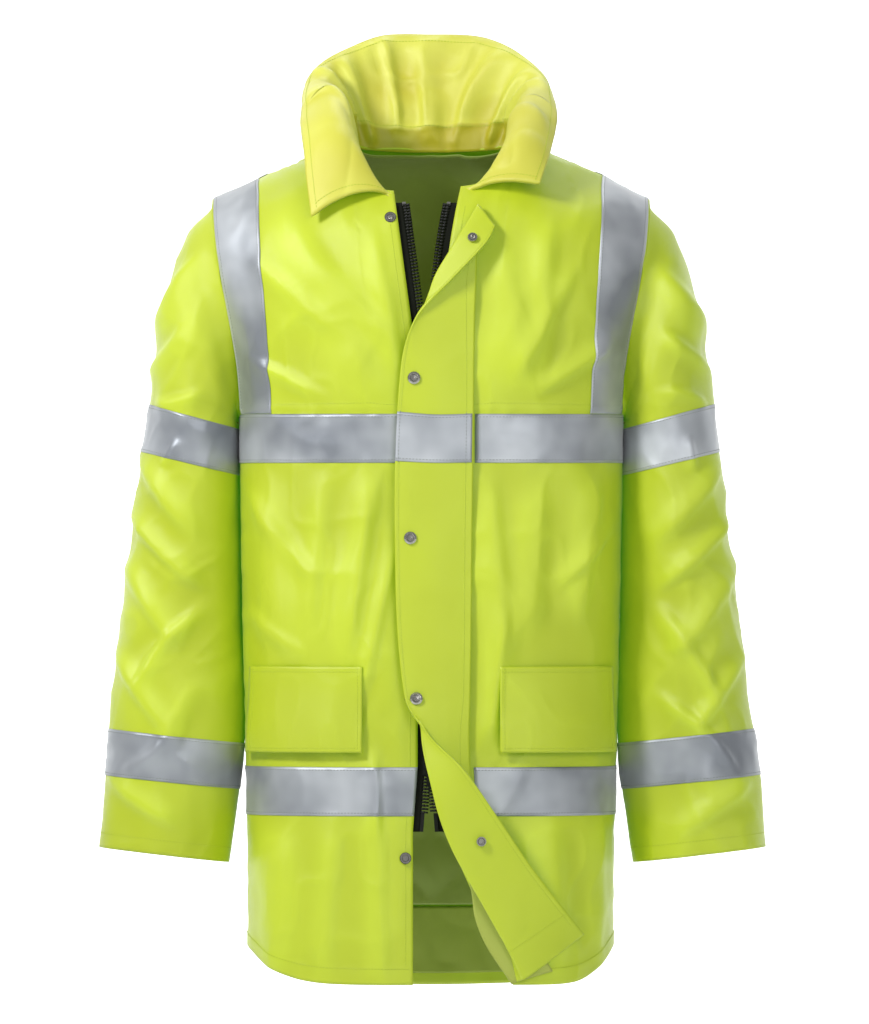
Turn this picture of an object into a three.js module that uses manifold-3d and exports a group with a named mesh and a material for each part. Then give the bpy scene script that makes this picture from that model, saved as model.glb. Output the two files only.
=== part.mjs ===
// A high visibility traffic jacket, hip length, shaped as it hangs on a wearer.
//
// Frame: millimetres, +Z up, the front faces -Y, the wearer's left is +X.
// The origin is the middle of the neck opening, at the height of the collar seam.
//
// Every fabric piece is a thin closed sheet laid at its own depth on one of four surfaces:
// the body, a sleeve, the collar or the storm flap. Depths are counted outwards from the
// outer face of the shell fabric, so a lining has a negative depth and a tape a positive one.

import * as THREE from "three";
import { mergeVertices } from "three/addons/utils/BufferGeometryUtils.js";
import Module from "manifold-3d";

const wasm = await Module();
wasm.setup();

// ---- Driving sizes of the body ----
const FRONT_LENGTH = 858; // collar seam level down to the front hem
const TAIL_DROP = 8; // the back hem hangs this much lower
const SIDE_RISE = 36; // the hem's corners are rounded up to the side seams by this much
const CORNER_POWER = 6;
const CHEST_HALF = 198;
const HEM_HALF = CHEST_HALF - 10;
const FRONT_DEPTH = 132;
const BACK_DEPTH = 126;
const SQUARENESS = 2.8; // of the rounded cross-section; 2 is an ellipse
const SHOULDER_HALF = CHEST_HALF + 28;
const SHOULDER_DROP = 50;
const SHOULDER_FLARE = 48; // how far the section would reach past the chest at the shoulder
const RIDGE_BACK = 10; // the shoulder seam lies this far behind the middle
const ROUND_FROM = -160; // the front and back start to close over the shoulders here
const FRONT_ROUNDNESS = 2.2;
const BACK_ROUNDNESS = 3;
const NECK_HALF = 84;
const NECK_RISE = 10;
const NAPE_RISE = 4;

// ---- Reflective tape ----
const TAPE_WIDTH = 50;
const CHEST_TAPE_TOP = -273; // also the height of the underarm
const WAIST_TAPE_TOP = -635;
// Shares of a front's width that a brace tape covers, at the chest tape and at the shoulder.
const BRACE_AT_CHEST = [0.815, 0.965];
const BRACE_AT_SHOULDER = [0.745, 0.975];

// ---- Fabric layers: how deep each lies below or above the shell's outer face ----
const SHELL = 2;
const TAPE_GAP = 1.4; // wide enough that flat facets stay clear of each other
const TAPE = 0.8;
const FACING_DEPTH = 3.6;
const FACING = 1;
const LINING_DEPTH = 5.5;
const LINING = 3;
const SEAM_GAP = 2;
const COLLAR_SEAM_GAP = 9;
const TOUCH_GAP = 0.3;
const STUD_GAP = 1.9; // between a stud and the fabric's flat facets

// ---- Front opening and zip ----
const ZIP_X = -2;
const EDGE_BACKSET = 11; // from the middle of the zip to each front edge
const ZIP_TOP = -54;
const ZIP_BOTTOM = -701;
const TOP_SLIDER_Z = -232;
const BOTTOM_SLIDER_Z = -634;
const NECK_V_RIGHT = 24; // how far each front edge has opened at the collar
const NECK_V_LEFT = 19;
const HEM_V = 5;
const LEFT_ROLL = HEM_HALF - 118; // the left front's lower corner is rolled out along a slant this wide
const FRONT_NECK_RIGHT_Z = -43;
const FRONT_NECK_LEFT_Z = -38;
const TEETH_WIDTH = 3.8;
const TEETH_THICK = 4.4;
const TEETH_GAP = 0.9; // between a row of teeth and the middle of the zip
const ZIP_DEPTH = 4.4; // the middle of the teeth, below the shell's outer face
const ZIP_TAPE_THICK = 1;
const ZIP_TAPE_WIDTH = 13;
const SLIDER_LENGTH = 18;
const SLIDER_WIDTH = 13;
const SLIDER_PLATE = 1.3;
const BRIDGE_WIDTH = 1.2;
const PULL_LENGTH = 24;
const PULL_WIDTH = 9;
const PULL_THICK = 1.4;
const PULL_HOLE = 1.8;
const LUG_HEIGHT = 3.4;
const LUG_RADIUS = 0.7;

// ---- Storm flap and press studs ----
const FLAP_WIDTH = 80;
const FLAP_THICK = 2.2;
const FLAP_SEAM_UP = 3.6; // how far the sewn edge's middle stands over the shell
const STUD_PITCH = 164;
const FIRST_STUD_Z = -72;
const STUD_COUNT = 5;
const STUD_FROM_FLAP_EDGE = 18;
const POST_FROM_FRONT_EDGE = 8;
const STUD_RADIUS = 6.5;
const STUD_DOME = 2.4;
const SHANK_RADIUS = 2.2;
const SOCKET_RADIUS = 5;
const SOCKET_HEIGHT = 2.4;
const POST_BASE = 2.4;
const POST_NUB = 4.4;
const POST_NUB_RADIUS = 1.7;
// The flap's course from top to bottom. Each row has the seam's x and z, where the roll or the
// middle lies (x, z, height over the shell), and the free edge (x, z, height over the shell).
const FLAP_COURSE = [
  [0, 46, -62, 49, -58, 12, 66, -80, 16],
  [0.06, 46, -100, 26, -94, 16, 55, -99, 22],
  [0.12, 46, -134, 3, -134, 14, 22, -133, 24],
  [0.18, 45, -168, 0, -166, 10, -14, -170, 15],
  [0.26, 44, -228, 5, -229, 9, -31, -226, 9],
  [0.5, 42, -400, 3, -400, 9, -37, -400, 9],
  [0.72, 40, -560, 4, -563, 9, -27, -563, 9],
  [0.78, 39, -604, -8, -609, 18, -3, -602, 24],
  [0.84, 40, -650, 0, -657, 26, 33, -636, 30],
  [0.9, 44, 156 - FRONT_LENGTH, 20, 142 - FRONT_LENGTH, 26, 68, 173 - FRONT_LENGTH, 28],
  [0.95, 66, 88 - FRONT_LENGTH, 52, 86 - FRONT_LENGTH, 18,
    HEM_HALF - 82, 117 - FRONT_LENGTH, 22],
  [1, HEM_HALF - 100, 3 - FRONT_LENGTH, HEM_HALF - 86, 10 - FRONT_LENGTH, 10,
    HEM_HALF - 30, 51 - FRONT_LENGTH, 16],
];
const FLAP_ROLL_SHARE = 0.45;

// ---- Pockets ----
const POCKET_INNER_X = 70;
const POCKET_OUTER_X = CHEST_HALF - 14;
const POCKET_TOP = -532;
const POCKET_FLAP_DROP = 88;
const POCKET_FLAP_DEPTH = 3.4;
const POCKET_FLAP_THICK = 2.4;
const POCKET_BAG_DROP = 146;
const POCKET_BAG_DEPTH = 3.3;
const POCKET_BAG_THICK = 1.2;

// ---- Sleeves ----
const SLEEVE_DEPTH_TOP = 62; // half of the sleeve's depth from front to back
const SLEEVE_DEPTH_ARM = 78;
const SLEEVE_DEPTH_CUFF = 56;
const SLEEVE_GAP = 3; // from the armhole to the sleeve's first edge
const UPPER_TAPE = [0.33, 0.4]; // share of the sleeve's length
const LOWER_TAPE = [0.82, 0.89];
// The outer and the inner line of the sleeve as [share of length, x, z].
const SLEEVE_OUTER = [
  [0, SHOULDER_HALF, -SHOULDER_DROP], [0.08, SHOULDER_HALF + 25, -SHOULDER_DROP - 32],
  [0.2, SHOULDER_HALF + 50, -155], [0.33, SHOULDER_HALF + 67, -262],
  [0.4, SHOULDER_HALF + 74, -311], [0.6, SHOULDER_HALF + 89, -443],
  [0.82, SHOULDER_HALF + 108, -597], [1, SHOULDER_HALF + 121, -719],
];
const SLEEVE_INNER = [
  [0, CHEST_HALF, CHEST_TAPE_TOP], [0.08, CHEST_HALF + 4, CHEST_TAPE_TOP - 4],
  [0.2, CHEST_HALF + 6, CHEST_TAPE_TOP - 8], [0.33, CHEST_HALF + 6, CHEST_TAPE_TOP - 15],
  [0.4, CHEST_HALF + 5, -336], [0.6, CHEST_HALF + 2, -470],
  [0.82, CHEST_HALF - 1, -612], [1, CHEST_HALF + 11, -735],
];

// ---- Collar ----
const COLLAR_FACE = 1.4;
const COLLAR_HOLLOW = 3; // between its two faces, at the wings
const HOOD_ROOM = 10; // the extra room at the back, where the hood is stowed
// Around the collar from the right wing to the left one. Each row has the seam's x, then the
// middle and the free edge as x, y and z.
const COLLAR_COURSE = [
  [-1, -37, -80, -114, -46, -123, -119, -70],
  [-0.8, -55, -89, -88, 16, -131, -88, -6],
  [-0.55, -74, -95, -22, 60, -134, -30, 38],
  [-0.32, -70, -96, 50, 66, -121, 52, 86],
  [-0.14, -34, -42, 80, 62, -60, 98, 120],
  [0, 0, 0, 84, 62, 0, 104, 124],
  [0.14, 34, 40, 80, 62, 62, 98, 119],
  [0.32, 70, 92, 50, 62, 112, 52, 86],
  [0.55, 77, 94, -22, 54, 130, -30, 42],
  [0.8, 56, 88, -88, 14, 123, -84, -2],
  [1, 34, 72, -112, -34, 112, -114, -36],
];

// ---- Colours ----
const material = (color, roughness, metalness = 0) =>
  new THREE.MeshStandardMaterial({ color, roughness, metalness, side: THREE.DoubleSide });
const SHELL_FABRIC = material(0xc4d93f, 0.5);
const SHELL_INSIDE = material(0xa6c143, 0.6);
const LINING_FABRIC = material(0x5f7d38, 0.75);
const REFLECTIVE = material(0xb4bcc0, 0.35, 0.3);
const BLACK_TAPE = material(0x1b1d11, 0.8);
const BLACK_PLASTIC = material(0x15160f, 0.4);
const METAL = material(0xb9b9b4, 0.25, 1);

const jacket = new THREE.Group();

function add(name, geometry, finish) {
  const mesh = new THREE.Mesh(geometry, finish);
  mesh.name = name;
  jacket.add(mesh);
  return mesh;
}

// ---- Small helpers ----
const lerp = THREE.MathUtils.lerp;
const clamp = THREE.MathUtils.clamp;
const ease = (t) => THREE.MathUtils.smoothstep(t, 0, 1);
const steps = (from, to, count) =>
  Array.from({ length: count + 1 }, (_, i) => lerp(from, to, i / count));

// Interpolates rows of [t, a, b, ...] with a smooth curve through them.
function curve(rows, t) {
  const last = rows.length - 1;
  let i = 0;
  while (i < last - 1 && t > rows[i + 1][0]) i += 1;
  const [t0, t1] = [rows[i][0], rows[i + 1][0]];
  const share = clamp((t - t0) / (t1 - t0), 0, 1);
  return rows[0].slice(1).map((_, k) => {
    const value = (j) => rows[clamp(j, 0, last)][k + 1];
    const time = (j) => rows[clamp(j, 0, last)][0];
    const slope = (j) => {
      const span = time(j + 1) - time(j - 1);
      return ((value(j + 1) - value(j - 1)) / span) * (t1 - t0);
    };
    const [s2, s3] = [share * share, share * share * share];
    return (
      (2 * s3 - 3 * s2 + 1) * value(i) + (s3 - 2 * s2 + share) * slope(i) +
      (3 * s2 - 2 * s3) * value(i + 1) + (s3 - s2) * slope(i + 1)
    );
  });
}

// A closed sheet over point(u, v) between two depths. Round sheets join their first and last column.
function sheet(point, columns, rows, from, to, round = false) {
  const STEP = 1e-3;
  const normal = (u, v) => {
    const span = (a, b) => b.sub(a);
    const du = span(point(u - STEP, v), point(u + STEP, v));
    const dv = span(point(u, v - STEP), point(u, v + STEP));
    return du.cross(dv).normalize();
  };
  const depthAt = (depth, u, v) => (typeof depth === "function" ? depth(u, v) : depth);
  const vertices = [];
  for (const depth of [from, to])
    for (const v of rows)
      for (const u of columns) {
        const at = point(u, v).addScaledVector(normal(u, v), depthAt(depth, u, v));
        vertices.push(at.x, at.y, at.z);
      }
  const [nu, nv] = [columns.length, rows.length];
  const at = (layer, j, i) => layer * nu * nv + j * nu + (i % nu);
  const faces = [];
  const quad = (a, b, c, d) => faces.push(a, b, c, a, c, d);
  const across = round ? nu : nu - 1;
  for (let j = 0; j < nv - 1; j += 1)
    for (let i = 0; i < across; i += 1) {
      quad(at(1, j, i), at(1, j, i + 1), at(1, j + 1, i + 1), at(1, j + 1, i));
      quad(at(0, j, i), at(0, j + 1, i), at(0, j + 1, i + 1), at(0, j, i + 1));
    }
  for (let i = 0; i < across; i += 1) {
    quad(at(0, 0, i), at(0, 0, i + 1), at(1, 0, i + 1), at(1, 0, i));
    quad(at(0, nv - 1, i), at(1, nv - 1, i), at(1, nv - 1, i + 1), at(0, nv - 1, i + 1));
  }
  if (!round)
    for (let j = 0; j < nv - 1; j += 1) {
      quad(at(0, j, 0), at(1, j, 0), at(1, j + 1, 0), at(0, j + 1, 0));
      quad(at(0, j, nu - 1), at(0, j + 1, nu - 1), at(1, j + 1, nu - 1), at(1, j, nu - 1));
    }
  const geometry = new THREE.BufferGeometry();
  geometry.setAttribute("position", new THREE.Float32BufferAttribute(vertices, 3));
  geometry.setIndex(faces);
  return facingOut(geometry);
}

// Turns every face round if the closed geometry is inside out.
function facingOut(geometry) {
  const [p, index] = [geometry.getAttribute("position"), geometry.getIndex()];
  const corner = (i) => new THREE.Vector3().fromBufferAttribute(p, index.getX(i));
  let volume = 0;
  for (let i = 0; i < index.count; i += 3)
    volume += corner(i).dot(corner(i + 1).cross(corner(i + 2)));
  if (volume < 0)
    for (let i = 0; i < index.count; i += 3) {
      const second = index.getX(i + 1);
      index.setX(i + 1, index.getX(i + 2));
      index.setX(i + 2, second);
    }
  geometry.computeVertexNormals();
  return geometry;
}

// ---- The body's surface: depth y at a place (x, z) seen from the front ----
const underarm = CHEST_TAPE_TOP;
const upShoulder = (z) => ease(clamp((z - underarm) / (-SHOULDER_DROP - underarm), 0, 1));
const armholeX = (z) => CHEST_HALF + (SHOULDER_HALF - CHEST_HALF) * upShoulder(z);

function sectionHalf(z) {
  if (z > underarm) return CHEST_HALF + SHOULDER_FLARE * upShoulder(z);
  return lerp(CHEST_HALF, HEM_HALF, ease(clamp((underarm - z) / (underarm + FRONT_LENGTH), 0, 1)));
}

function ridgeZ(x) {
  const out = clamp((Math.abs(x) - NECK_HALF) / (SHOULDER_HALF - NECK_HALF), 0, 1.2);
  return NECK_RISE - (NECK_RISE + SHOULDER_DROP) * out ** 1.1;
}

function bodyY(x, z, depth) {
  const reach = clamp(Math.abs(x) / sectionHalf(z), 0, 1);
  const section = (1 - reach ** SQUARENESS) ** (1 / SQUARENESS);
  const up = clamp((z - ROUND_FROM) / (ridgeZ(x) - ROUND_FROM), 0, 1);
  const roundness = depth < 0 ? FRONT_ROUNDNESS : BACK_ROUNDNESS;
  const closing = (1 - up ** roundness) ** (1 / roundness);
  return RIDGE_BACK * up * up + depth * section * closing;
}

// ---- Edges of the panels ----
const neckV = (z) => clamp((z - TOP_SLIDER_Z - 7) / (ZIP_TOP - TOP_SLIDER_Z), 0, 1.06);
const hemV = (z) => clamp((BOTTOM_SLIDER_Z - z) / (BOTTOM_SLIDER_Z - ZIP_BOTTOM), 0, 1);
const rollV = (z) => clamp((ZIP_BOTTOM - z) / (ZIP_BOTTOM + FRONT_LENGTH), 0, 1.1);
const frontEdgeX = {
  right: (z) => ZIP_X - EDGE_BACKSET - NECK_V_RIGHT * neckV(z) - HEM_V * hemV(z),
  left: (z) => ZIP_X + EDGE_BACKSET + NECK_V_LEFT * neckV(z) ** 2 + HEM_V * hemV(z)
    + LEFT_ROLL * rollV(z),
};
const frontNeckZ = { right: FRONT_NECK_RIGHT_Z, left: FRONT_NECK_LEFT_Z };
const SIGN = { right: -1, left: 1 };

const hemZ = {
  front: (x) => -FRONT_LENGTH + SIDE_RISE * (x / HEM_HALF) ** CORNER_POWER,
  back: (x) => hemZ.front(x) - TAIL_DROP * (1 - (x / HEM_HALF) ** 2),
};

function necklineZ(x, centreX, centreZ, drop) {
  const along = clamp((Math.abs(x) - centreX) / (NECK_HALF - centreX), 0, 1);
  return centreZ + (NECK_RISE - centreZ) * (1 - (1 - along ** 2) ** drop);
}

// Heights that the rows 1 to 4 of a panel keep. Row 0 is the hem and row 5 the top edge.
const ROW_Z = [
  0, WAIST_TAPE_TOP - TAPE_WIDTH, WAIST_TAPE_TOP, CHEST_TAPE_TOP - TAPE_WIDTH, CHEST_TAPE_TOP, 0,
];

// A panel place: a runs 0 to 1 from the centre to the side or armhole, row 0 to 5 from hem to top.
function panelPlace(a, row, centreX, hem, topOf, topCentreX) {
  const out = Math.sin((clamp(a, 0, 1) * Math.PI) / 2);
  const band = clamp(Math.floor(row), 0, 4);
  const share = row - band;
  if (band < 4) {
    const guess = lerp(ROW_Z[Math.max(band, 1)], ROW_Z[band + 1], band ? share : 0);
    let z = guess;
    let x = lerp(centreX(z), sectionHalf(z), out);
    if (band === 0) {
      z = lerp(hem(x), ROW_Z[1], share);
      x = lerp(centreX(z), sectionHalf(z), out);
    }
    return [x, z];
  }
  const up = clamp(share, 0, 1);
  const topX = lerp(topCentreX, SHOULDER_HALF, out);
  const topZ = topOf(topX);
  const z = lerp(CHEST_TAPE_TOP, topZ, up);
  const base = lerp(centreX(CHEST_TAPE_TOP), CHEST_HALF, out);
  const straight = lerp(base, topX, up);
  const toArmhole = (armholeX(z) - lerp(CHEST_HALF, SHOULDER_HALF, up)) * out ** 4;
  const toCentre = (centreX(z) - lerp(centreX(CHEST_TAPE_TOP), topCentreX, up)) * (1 - out) ** 3;
  return [straight + toArmhole + toCentre, z];
}

function frontPoint(side) {
  const edge = (z) => SIGN[side] * frontEdgeX[side](z);
  const centreZ = frontNeckZ[side];
  const centreX = edge(centreZ);
  const top = (x) => (x > NECK_HALF ? ridgeZ(x) : necklineZ(x, centreX, centreZ, 0.5));
  return (a, row) => {
    const [x, z] = panelPlace(a, row, edge, hemZ.front, top, centreX);
    return new THREE.Vector3(SIGN[side] * x, bodyY(x, z, -FRONT_DEPTH), z);
  };
}

// The back is one panel, so its a runs -1 to 1 from the right side to the left.
const backTop = (x) => (x > NECK_HALF ? ridgeZ(x) : necklineZ(x, 0, NAPE_RISE, 0.5));
function backPoint(a, row) {
  const [x, z] = panelPlace(Math.abs(a), row, () => 0, hemZ.back, backTop, 0);
  return new THREE.Vector3(Math.sign(a) * x, bodyY(x, z, BACK_DEPTH), z);
}

// A surface is a function of two shares and the side of it that faces outwards.
const fronts = {
  right: { point: frontPoint("right"), out: -1 },
  left: { point: frontPoint("left"), out: 1 },
};
const back = { point: backPoint, out: -1 };

// A sheet between two heights over a surface's outer side.
function layer(surface, columns, rows, low, high, round = false) {
  const scaled = (height) =>
    typeof height === "function" ? (u, v) => surface.out * height(u, v) : surface.out * height;
  return sheet(surface.point, columns, rows, scaled(low), scaled(high), round);
}

// ---- Solids that are cut ----
function toSolid(geometry) {
  const bare = geometry.clone();
  for (const name of Object.keys(bare.attributes)) if (name !== "position") bare.deleteAttribute(name);
  const merged = mergeVertices(bare, 1e-4);
  return new wasm.Manifold(new wasm.Mesh({
    numProp: 3,
    vertProperties: new Float32Array(merged.attributes.position.array),
    triVerts: new Uint32Array(merged.index.array),
  }));
}

function fromSolid(solid) {
  const mesh = solid.getMesh();
  const geometry = new THREE.BufferGeometry();
  geometry.setAttribute("position", new THREE.BufferAttribute(mesh.vertProperties, 3));
  geometry.setIndex(new THREE.BufferAttribute(mesh.triVerts, 1));
  const flat = geometry.toNonIndexed();
  flat.computeVertexNormals();
  return flat;
}

const UP = new THREE.Vector3(0, 1, 0);
const standing = (place, normal) => new THREE.Matrix4().compose(
  place, new THREE.Quaternion().setFromUnitVectors(UP, normal), new THREE.Vector3(1, 1, 1));

// Round holes straight through a sheet at the given places.
function drilled(geometry, places, radius) {
  const DRILL_LENGTH = 16;
  const ROUND = 12;
  let solid = toSolid(geometry);
  for (const { place, normal } of places) {
    const drill = new THREE.CylinderGeometry(radius, radius, DRILL_LENGTH, ROUND);
    drill.applyMatrix4(standing(place, normal));
    solid = solid.subtract(toSolid(drill));
  }
  return fromSolid(solid);
}

function placeOn(surface, u, v, height) {
  const STEP = 1e-3;
  const du = surface.point(u + STEP, v).sub(surface.point(u - STEP, v));
  const dv = surface.point(u, v + STEP).sub(surface.point(u, v - STEP));
  const normal = du.cross(dv).normalize().multiplyScalar(surface.out);
  return { place: surface.point(u, v).addScaledVector(normal, height), normal };
}

// The share across a front at which it passes a given x, at the chest.
function acrossAt(side, x) {
  const edge = SIGN[side] * frontEdgeX[side](CHEST_TAPE_TOP);
  return (2 / Math.PI) * Math.asin((x - edge) / (CHEST_HALF - edge));
}

// The row of a panel at a given height below the underarm.
function rowAt(z) {
  for (let band = 1; band < 4; band += 1)
    if (z <= ROW_Z[band + 1]) return band + (z - ROW_Z[band]) / (ROW_Z[band + 1] - ROW_Z[band]);
  return 4;
}

// ---- Body panels ----
const SIDE_SEAM = 1 - 0.004;
// The body turns over fast near the shoulder seam, so the shares of the upper band crowd there.
const TO_SHOULDER = [0.25, 0.43, 0.6, 0.72, 0.86, 0.94, 0.981, 0.996];
const AT_SHOULDER = 0.9999;
const panelRows = [
  ...steps(0, 1, 4), 2, ...steps(2, 3, 5).slice(1), 4,
  ...[...TO_SHOULDER, AT_SHOULDER].map((share) => 4 + share),
];
const NECK_SHARE = 0.16; // the share across a front that lies under the collar
const FACING_SHARE = 0.3;
const frontColumns = [0.004, 0.08, NECK_SHARE, FACING_SHARE, 0.44, 0.58, 0.7, 0.82, 0.92, SIDE_SEAM];
const backHalf = [0.12, 0.24, 0.36, 0.5, 0.64, 0.78, 0.9, SIDE_SEAM];
const mirrored = (list) => [...list.map((a) => -a).reverse(), 0, ...list];
const backColumns = mirrored(backHalf);

// Press stud posts sit along the right front's edge.
const studHeights = steps(FIRST_STUD_Z, FIRST_STUD_Z - STUD_PITCH * (STUD_COUNT - 1), STUD_COUNT - 1);
const postPlaces = studHeights.map((z) => {
  const x = frontEdgeX.right(z) - POST_FROM_FRONT_EDGE;
  const probe = (dx, dz) => new THREE.Vector3(x + dx, bodyY(x + dx, z + dz, -FRONT_DEPTH), z + dz);
  const normal = probe(1, 0).sub(probe(-1, 0)).cross(probe(0, 1).sub(probe(0, -1))).normalize();
  return { place: probe(0, 0), normal };
});

const rightPanel = layer(fronts.right, frontColumns, panelRows, -SHELL, 0);
add("front_panel_right", drilled(rightPanel, postPlaces, SHANK_RADIUS + STUD_GAP), SHELL_FABRIC);
add("front_panel_left", layer(fronts.left, frontColumns, panelRows, -SHELL, 0), SHELL_FABRIC);
add("back_panel", layer(back, backColumns, panelRows, -SHELL, 0), SHELL_FABRIC);

// ---- Facings, linings and pocket bags, behind the shell ----
const LOWEST_BAND = FRONT_LENGTH + WAIST_TAPE_TOP - TAPE_WIDTH; // from the hem to the waist tape
const HEM_FACING_WIDTH = 77.85;
const HEM_FACING_TOP = HEM_FACING_WIDTH / LOWEST_BAND; // share of the lowest band
const LINING_FROM = HEM_FACING_TOP + 3.46 / LOWEST_BAND;
const FACING_COLUMNS = [0.08, NECK_SHARE, FACING_SHARE - 0.01];
const LINING_START = FACING_SHARE + 0.012; // just past the facing's edge
const INNER_TOP = 4.95;
const innerRows = (from) => [from, ...panelRows.filter((row) => row > from + 0.05 && row < INNER_TOP)];
const HEM_INSIDE = 0.03;

for (const side of ["right", "left"]) {
  const facing = layer(fronts[side], FACING_COLUMNS, innerRows(HEM_INSIDE),
    -FACING_DEPTH - FACING, -FACING_DEPTH);
  add(`front_facing_${side}`, facing, SHELL_INSIDE);
  const inner = frontColumns.filter((a) => a > LINING_START && a < SIDE_SEAM);
  const liningColumns = [LINING_START, ...inner, 0.985];
  const lining = layer(fronts[side], liningColumns, innerRows(LINING_FROM),
    -LINING_DEPTH - LINING, -LINING_DEPTH);
  add(`lining_front_${side}`, lining, LINING_FABRIC);
  const hemRows = [HEM_INSIDE, 0.25, HEM_FACING_TOP];
  add(`hem_facing_${side}`, layer(fronts[side], liningColumns, hemRows,
    -FACING_DEPTH - FACING, -FACING_DEPTH), SHELL_INSIDE);
  const bagEnd = acrossAt(side, POCKET_OUTER_X);
  const bagColumns = [...liningColumns.filter((a) => a < bagEnd), bagEnd];
  const bagRows = [rowAt(POCKET_TOP - POCKET_BAG_DROP), 2, rowAt(POCKET_TOP)];
  add(`pocket_bag_${side}`, layer(fronts[side], bagColumns, bagRows,
    -POCKET_BAG_DEPTH - POCKET_BAG_THICK, -POCKET_BAG_DEPTH), SHELL_INSIDE);
}
const backInner = mirrored([...backHalf.slice(0, -1), 0.985]);
add("lining_back", layer(back, backInner, innerRows(LINING_FROM),
  -LINING_DEPTH - LINING, -LINING_DEPTH), LINING_FABRIC);
add("hem_facing_back", layer(back, backInner, [HEM_INSIDE, 0.25, HEM_FACING_TOP],
  -FACING_DEPTH - FACING, -FACING_DEPTH), SHELL_INSIDE);

// ---- Reflective tape on the body ----
const tapeOver = (gap) => [gap, gap + TAPE];
const BRACE_GAP = 2.8;
const flapSeamX = (z) => curve(FLAP_COURSE.map((row) => [-row[2], row[1]]), -z)[0];
const bands = { chest: [3, 4], waist: [1, 2] };
for (const [name, rows] of Object.entries(bands)) {
  const leftStart = acrossAt("left", flapSeamX(CHEST_TAPE_TOP) + SEAM_GAP + 2);
  const left = [leftStart, ...frontColumns.filter((a) => a > leftStart + 0.04)];
  add(`${name}_tape_front_right`, layer(fronts.right, frontColumns, rows, ...tapeOver(TAPE_GAP)), REFLECTIVE);
  add(`${name}_tape_front_left`, layer(fronts.left, left, rows, ...tapeOver(TAPE_GAP)), REFLECTIVE);
  add(`${name}_tape_back`, layer(back, backColumns, rows, ...tapeOver(TAPE_GAP)), REFLECTIVE);
}

// A brace tape runs from the front's chest tape over the shoulder to the back's chest tape.
function braceSurface(side) {
  const point = (u, v) => {
    const onBack = v > 1;
    const row = 5 - Math.abs(1 - v);
    const up = clamp(row - 4, 0, 1);
    const share = lerp(lerp(...BRACE_AT_CHEST, u), lerp(...BRACE_AT_SHOULDER, u), up);
    const across = (2 / Math.PI) * Math.asin(share);
    return onBack ? backPoint(SIGN[side] * across, row) : fronts[side].point(across, row);
  };
  return { point, out: SIGN[side] };
}
const braceHalf = [0.02, ...TO_SHOULDER];
const braceRows = [...braceHalf, ...braceHalf.map((share) => 2 - share).reverse()];
for (const side of ["right", "left"])
  add(`brace_tape_${side}`,
    layer(braceSurface(side), steps(0, 1, 3), braceRows, ...tapeOver(BRACE_GAP)), REFLECTIVE);

// ---- Sleeves ----
function sleeveSurface(side) {
  const point = (u, v) => {
    const [outerX, outerZ] = curve(SLEEVE_OUTER, v);
    const [innerX, innerZ] = curve(SLEEVE_INNER, v);
    const swell = ease(clamp(v / 0.2, 0, 1));
    const depth = lerp(lerp(SLEEVE_DEPTH_TOP, SLEEVE_DEPTH_ARM, swell), SLEEVE_DEPTH_CUFF, v);
    const out = Math.cos(u * 2 * Math.PI);
    const x = (outerX + innerX) / 2 + ((outerX - innerX) / 2) * out;
    const z = (outerZ + innerZ) / 2 + ((outerZ - innerZ) / 2) * out;
    const clear = SLEEVE_GAP * (1 - ease(clamp(v / 0.1, 0, 1)));
    return new THREE.Vector3(SIGN[side] * (x + clear), depth * Math.sin(u * 2 * Math.PI), z);
  };
  return { point, out: -SIGN[side] };
}
const AROUND = steps(0, 1, 16).slice(0, -1);
const sleeveRows = [0, 0.05, 0.12, 0.2, 0.33, 0.4, 0.5, 0.6, 0.71, 0.82, 0.89, 0.95, 1];
for (const side of ["right", "left"]) {
  const surface = sleeveSurface(side);
  add(`sleeve_${side}`, layer(surface, AROUND, sleeveRows, -SHELL, 0, true), SHELL_FABRIC);
  const liningRows = sleeveRows.slice(1, -1);
  add(`sleeve_lining_${side}`, layer(surface, AROUND, liningRows,
    -LINING_DEPTH - LINING, -LINING_DEPTH, true), LINING_FABRIC);
  for (const [name, range] of Object.entries({ upper: UPPER_TAPE, lower: LOWER_TAPE }))
    add(`sleeve_tape_${name}_${side}`,
      layer(surface, AROUND, range, ...tapeOver(TAPE_GAP), true), REFLECTIVE);
}

// ---- Collar with the hood stowed in it ----
function collarPoint(u, v) {
  const [seamX, ...rest] = curve(COLLAR_COURSE, u);
  const onFront = Math.abs(u) > 0.55;
  const side = u < 0 ? "right" : "left";
  const centre = [SIGN[side] * frontEdgeX[side](frontNeckZ[side]), frontNeckZ[side]];
  const seamZ = onFront ? necklineZ(seamX, ...centre, 0.5) : backTop(Math.abs(seamX));
  const blend = ease(clamp((Math.abs(u) - 0.42) / 0.2, 0, 1));
  const seamY = lerp(bodyY(seamX, seamZ, BACK_DEPTH), bodyY(seamX, seamZ, -FRONT_DEPTH), blend);
  const seam = new THREE.Vector3(seamX, seamY, seamZ + COLLAR_SEAM_GAP);
  const middle = new THREE.Vector3(...rest.slice(0, 3));
  const edge = new THREE.Vector3(...rest.slice(3));
  const bend = middle.clone().multiplyScalar(2).addScaledVector(seam, -0.5).addScaledVector(edge, -0.5);
  return new THREE.QuadraticBezierCurve3(seam, bend, edge).getPoint(v);
}
const collar = { point: collarPoint, out: -1 };
const hoodRoom = (u, v) => {
  const atBack = 1 - ease(clamp(Math.abs(u) / 0.7, 0, 1));
  return HOOD_ROOM * atBack * Math.sin(Math.PI * clamp(v, 0, 1));
};
const collarColumns = steps(-1, 1, 18);
const collarRows = steps(0, 1, 6);
const INNER_START = 0.08; // the faces start clear of the neck seam's flat facets
const innerCollarRows = [INNER_START, ...collarRows.slice(1)];
add("collar_inner", layer(collar, collarColumns, innerCollarRows, 0, COLLAR_FACE), SHELL_FABRIC);
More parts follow.
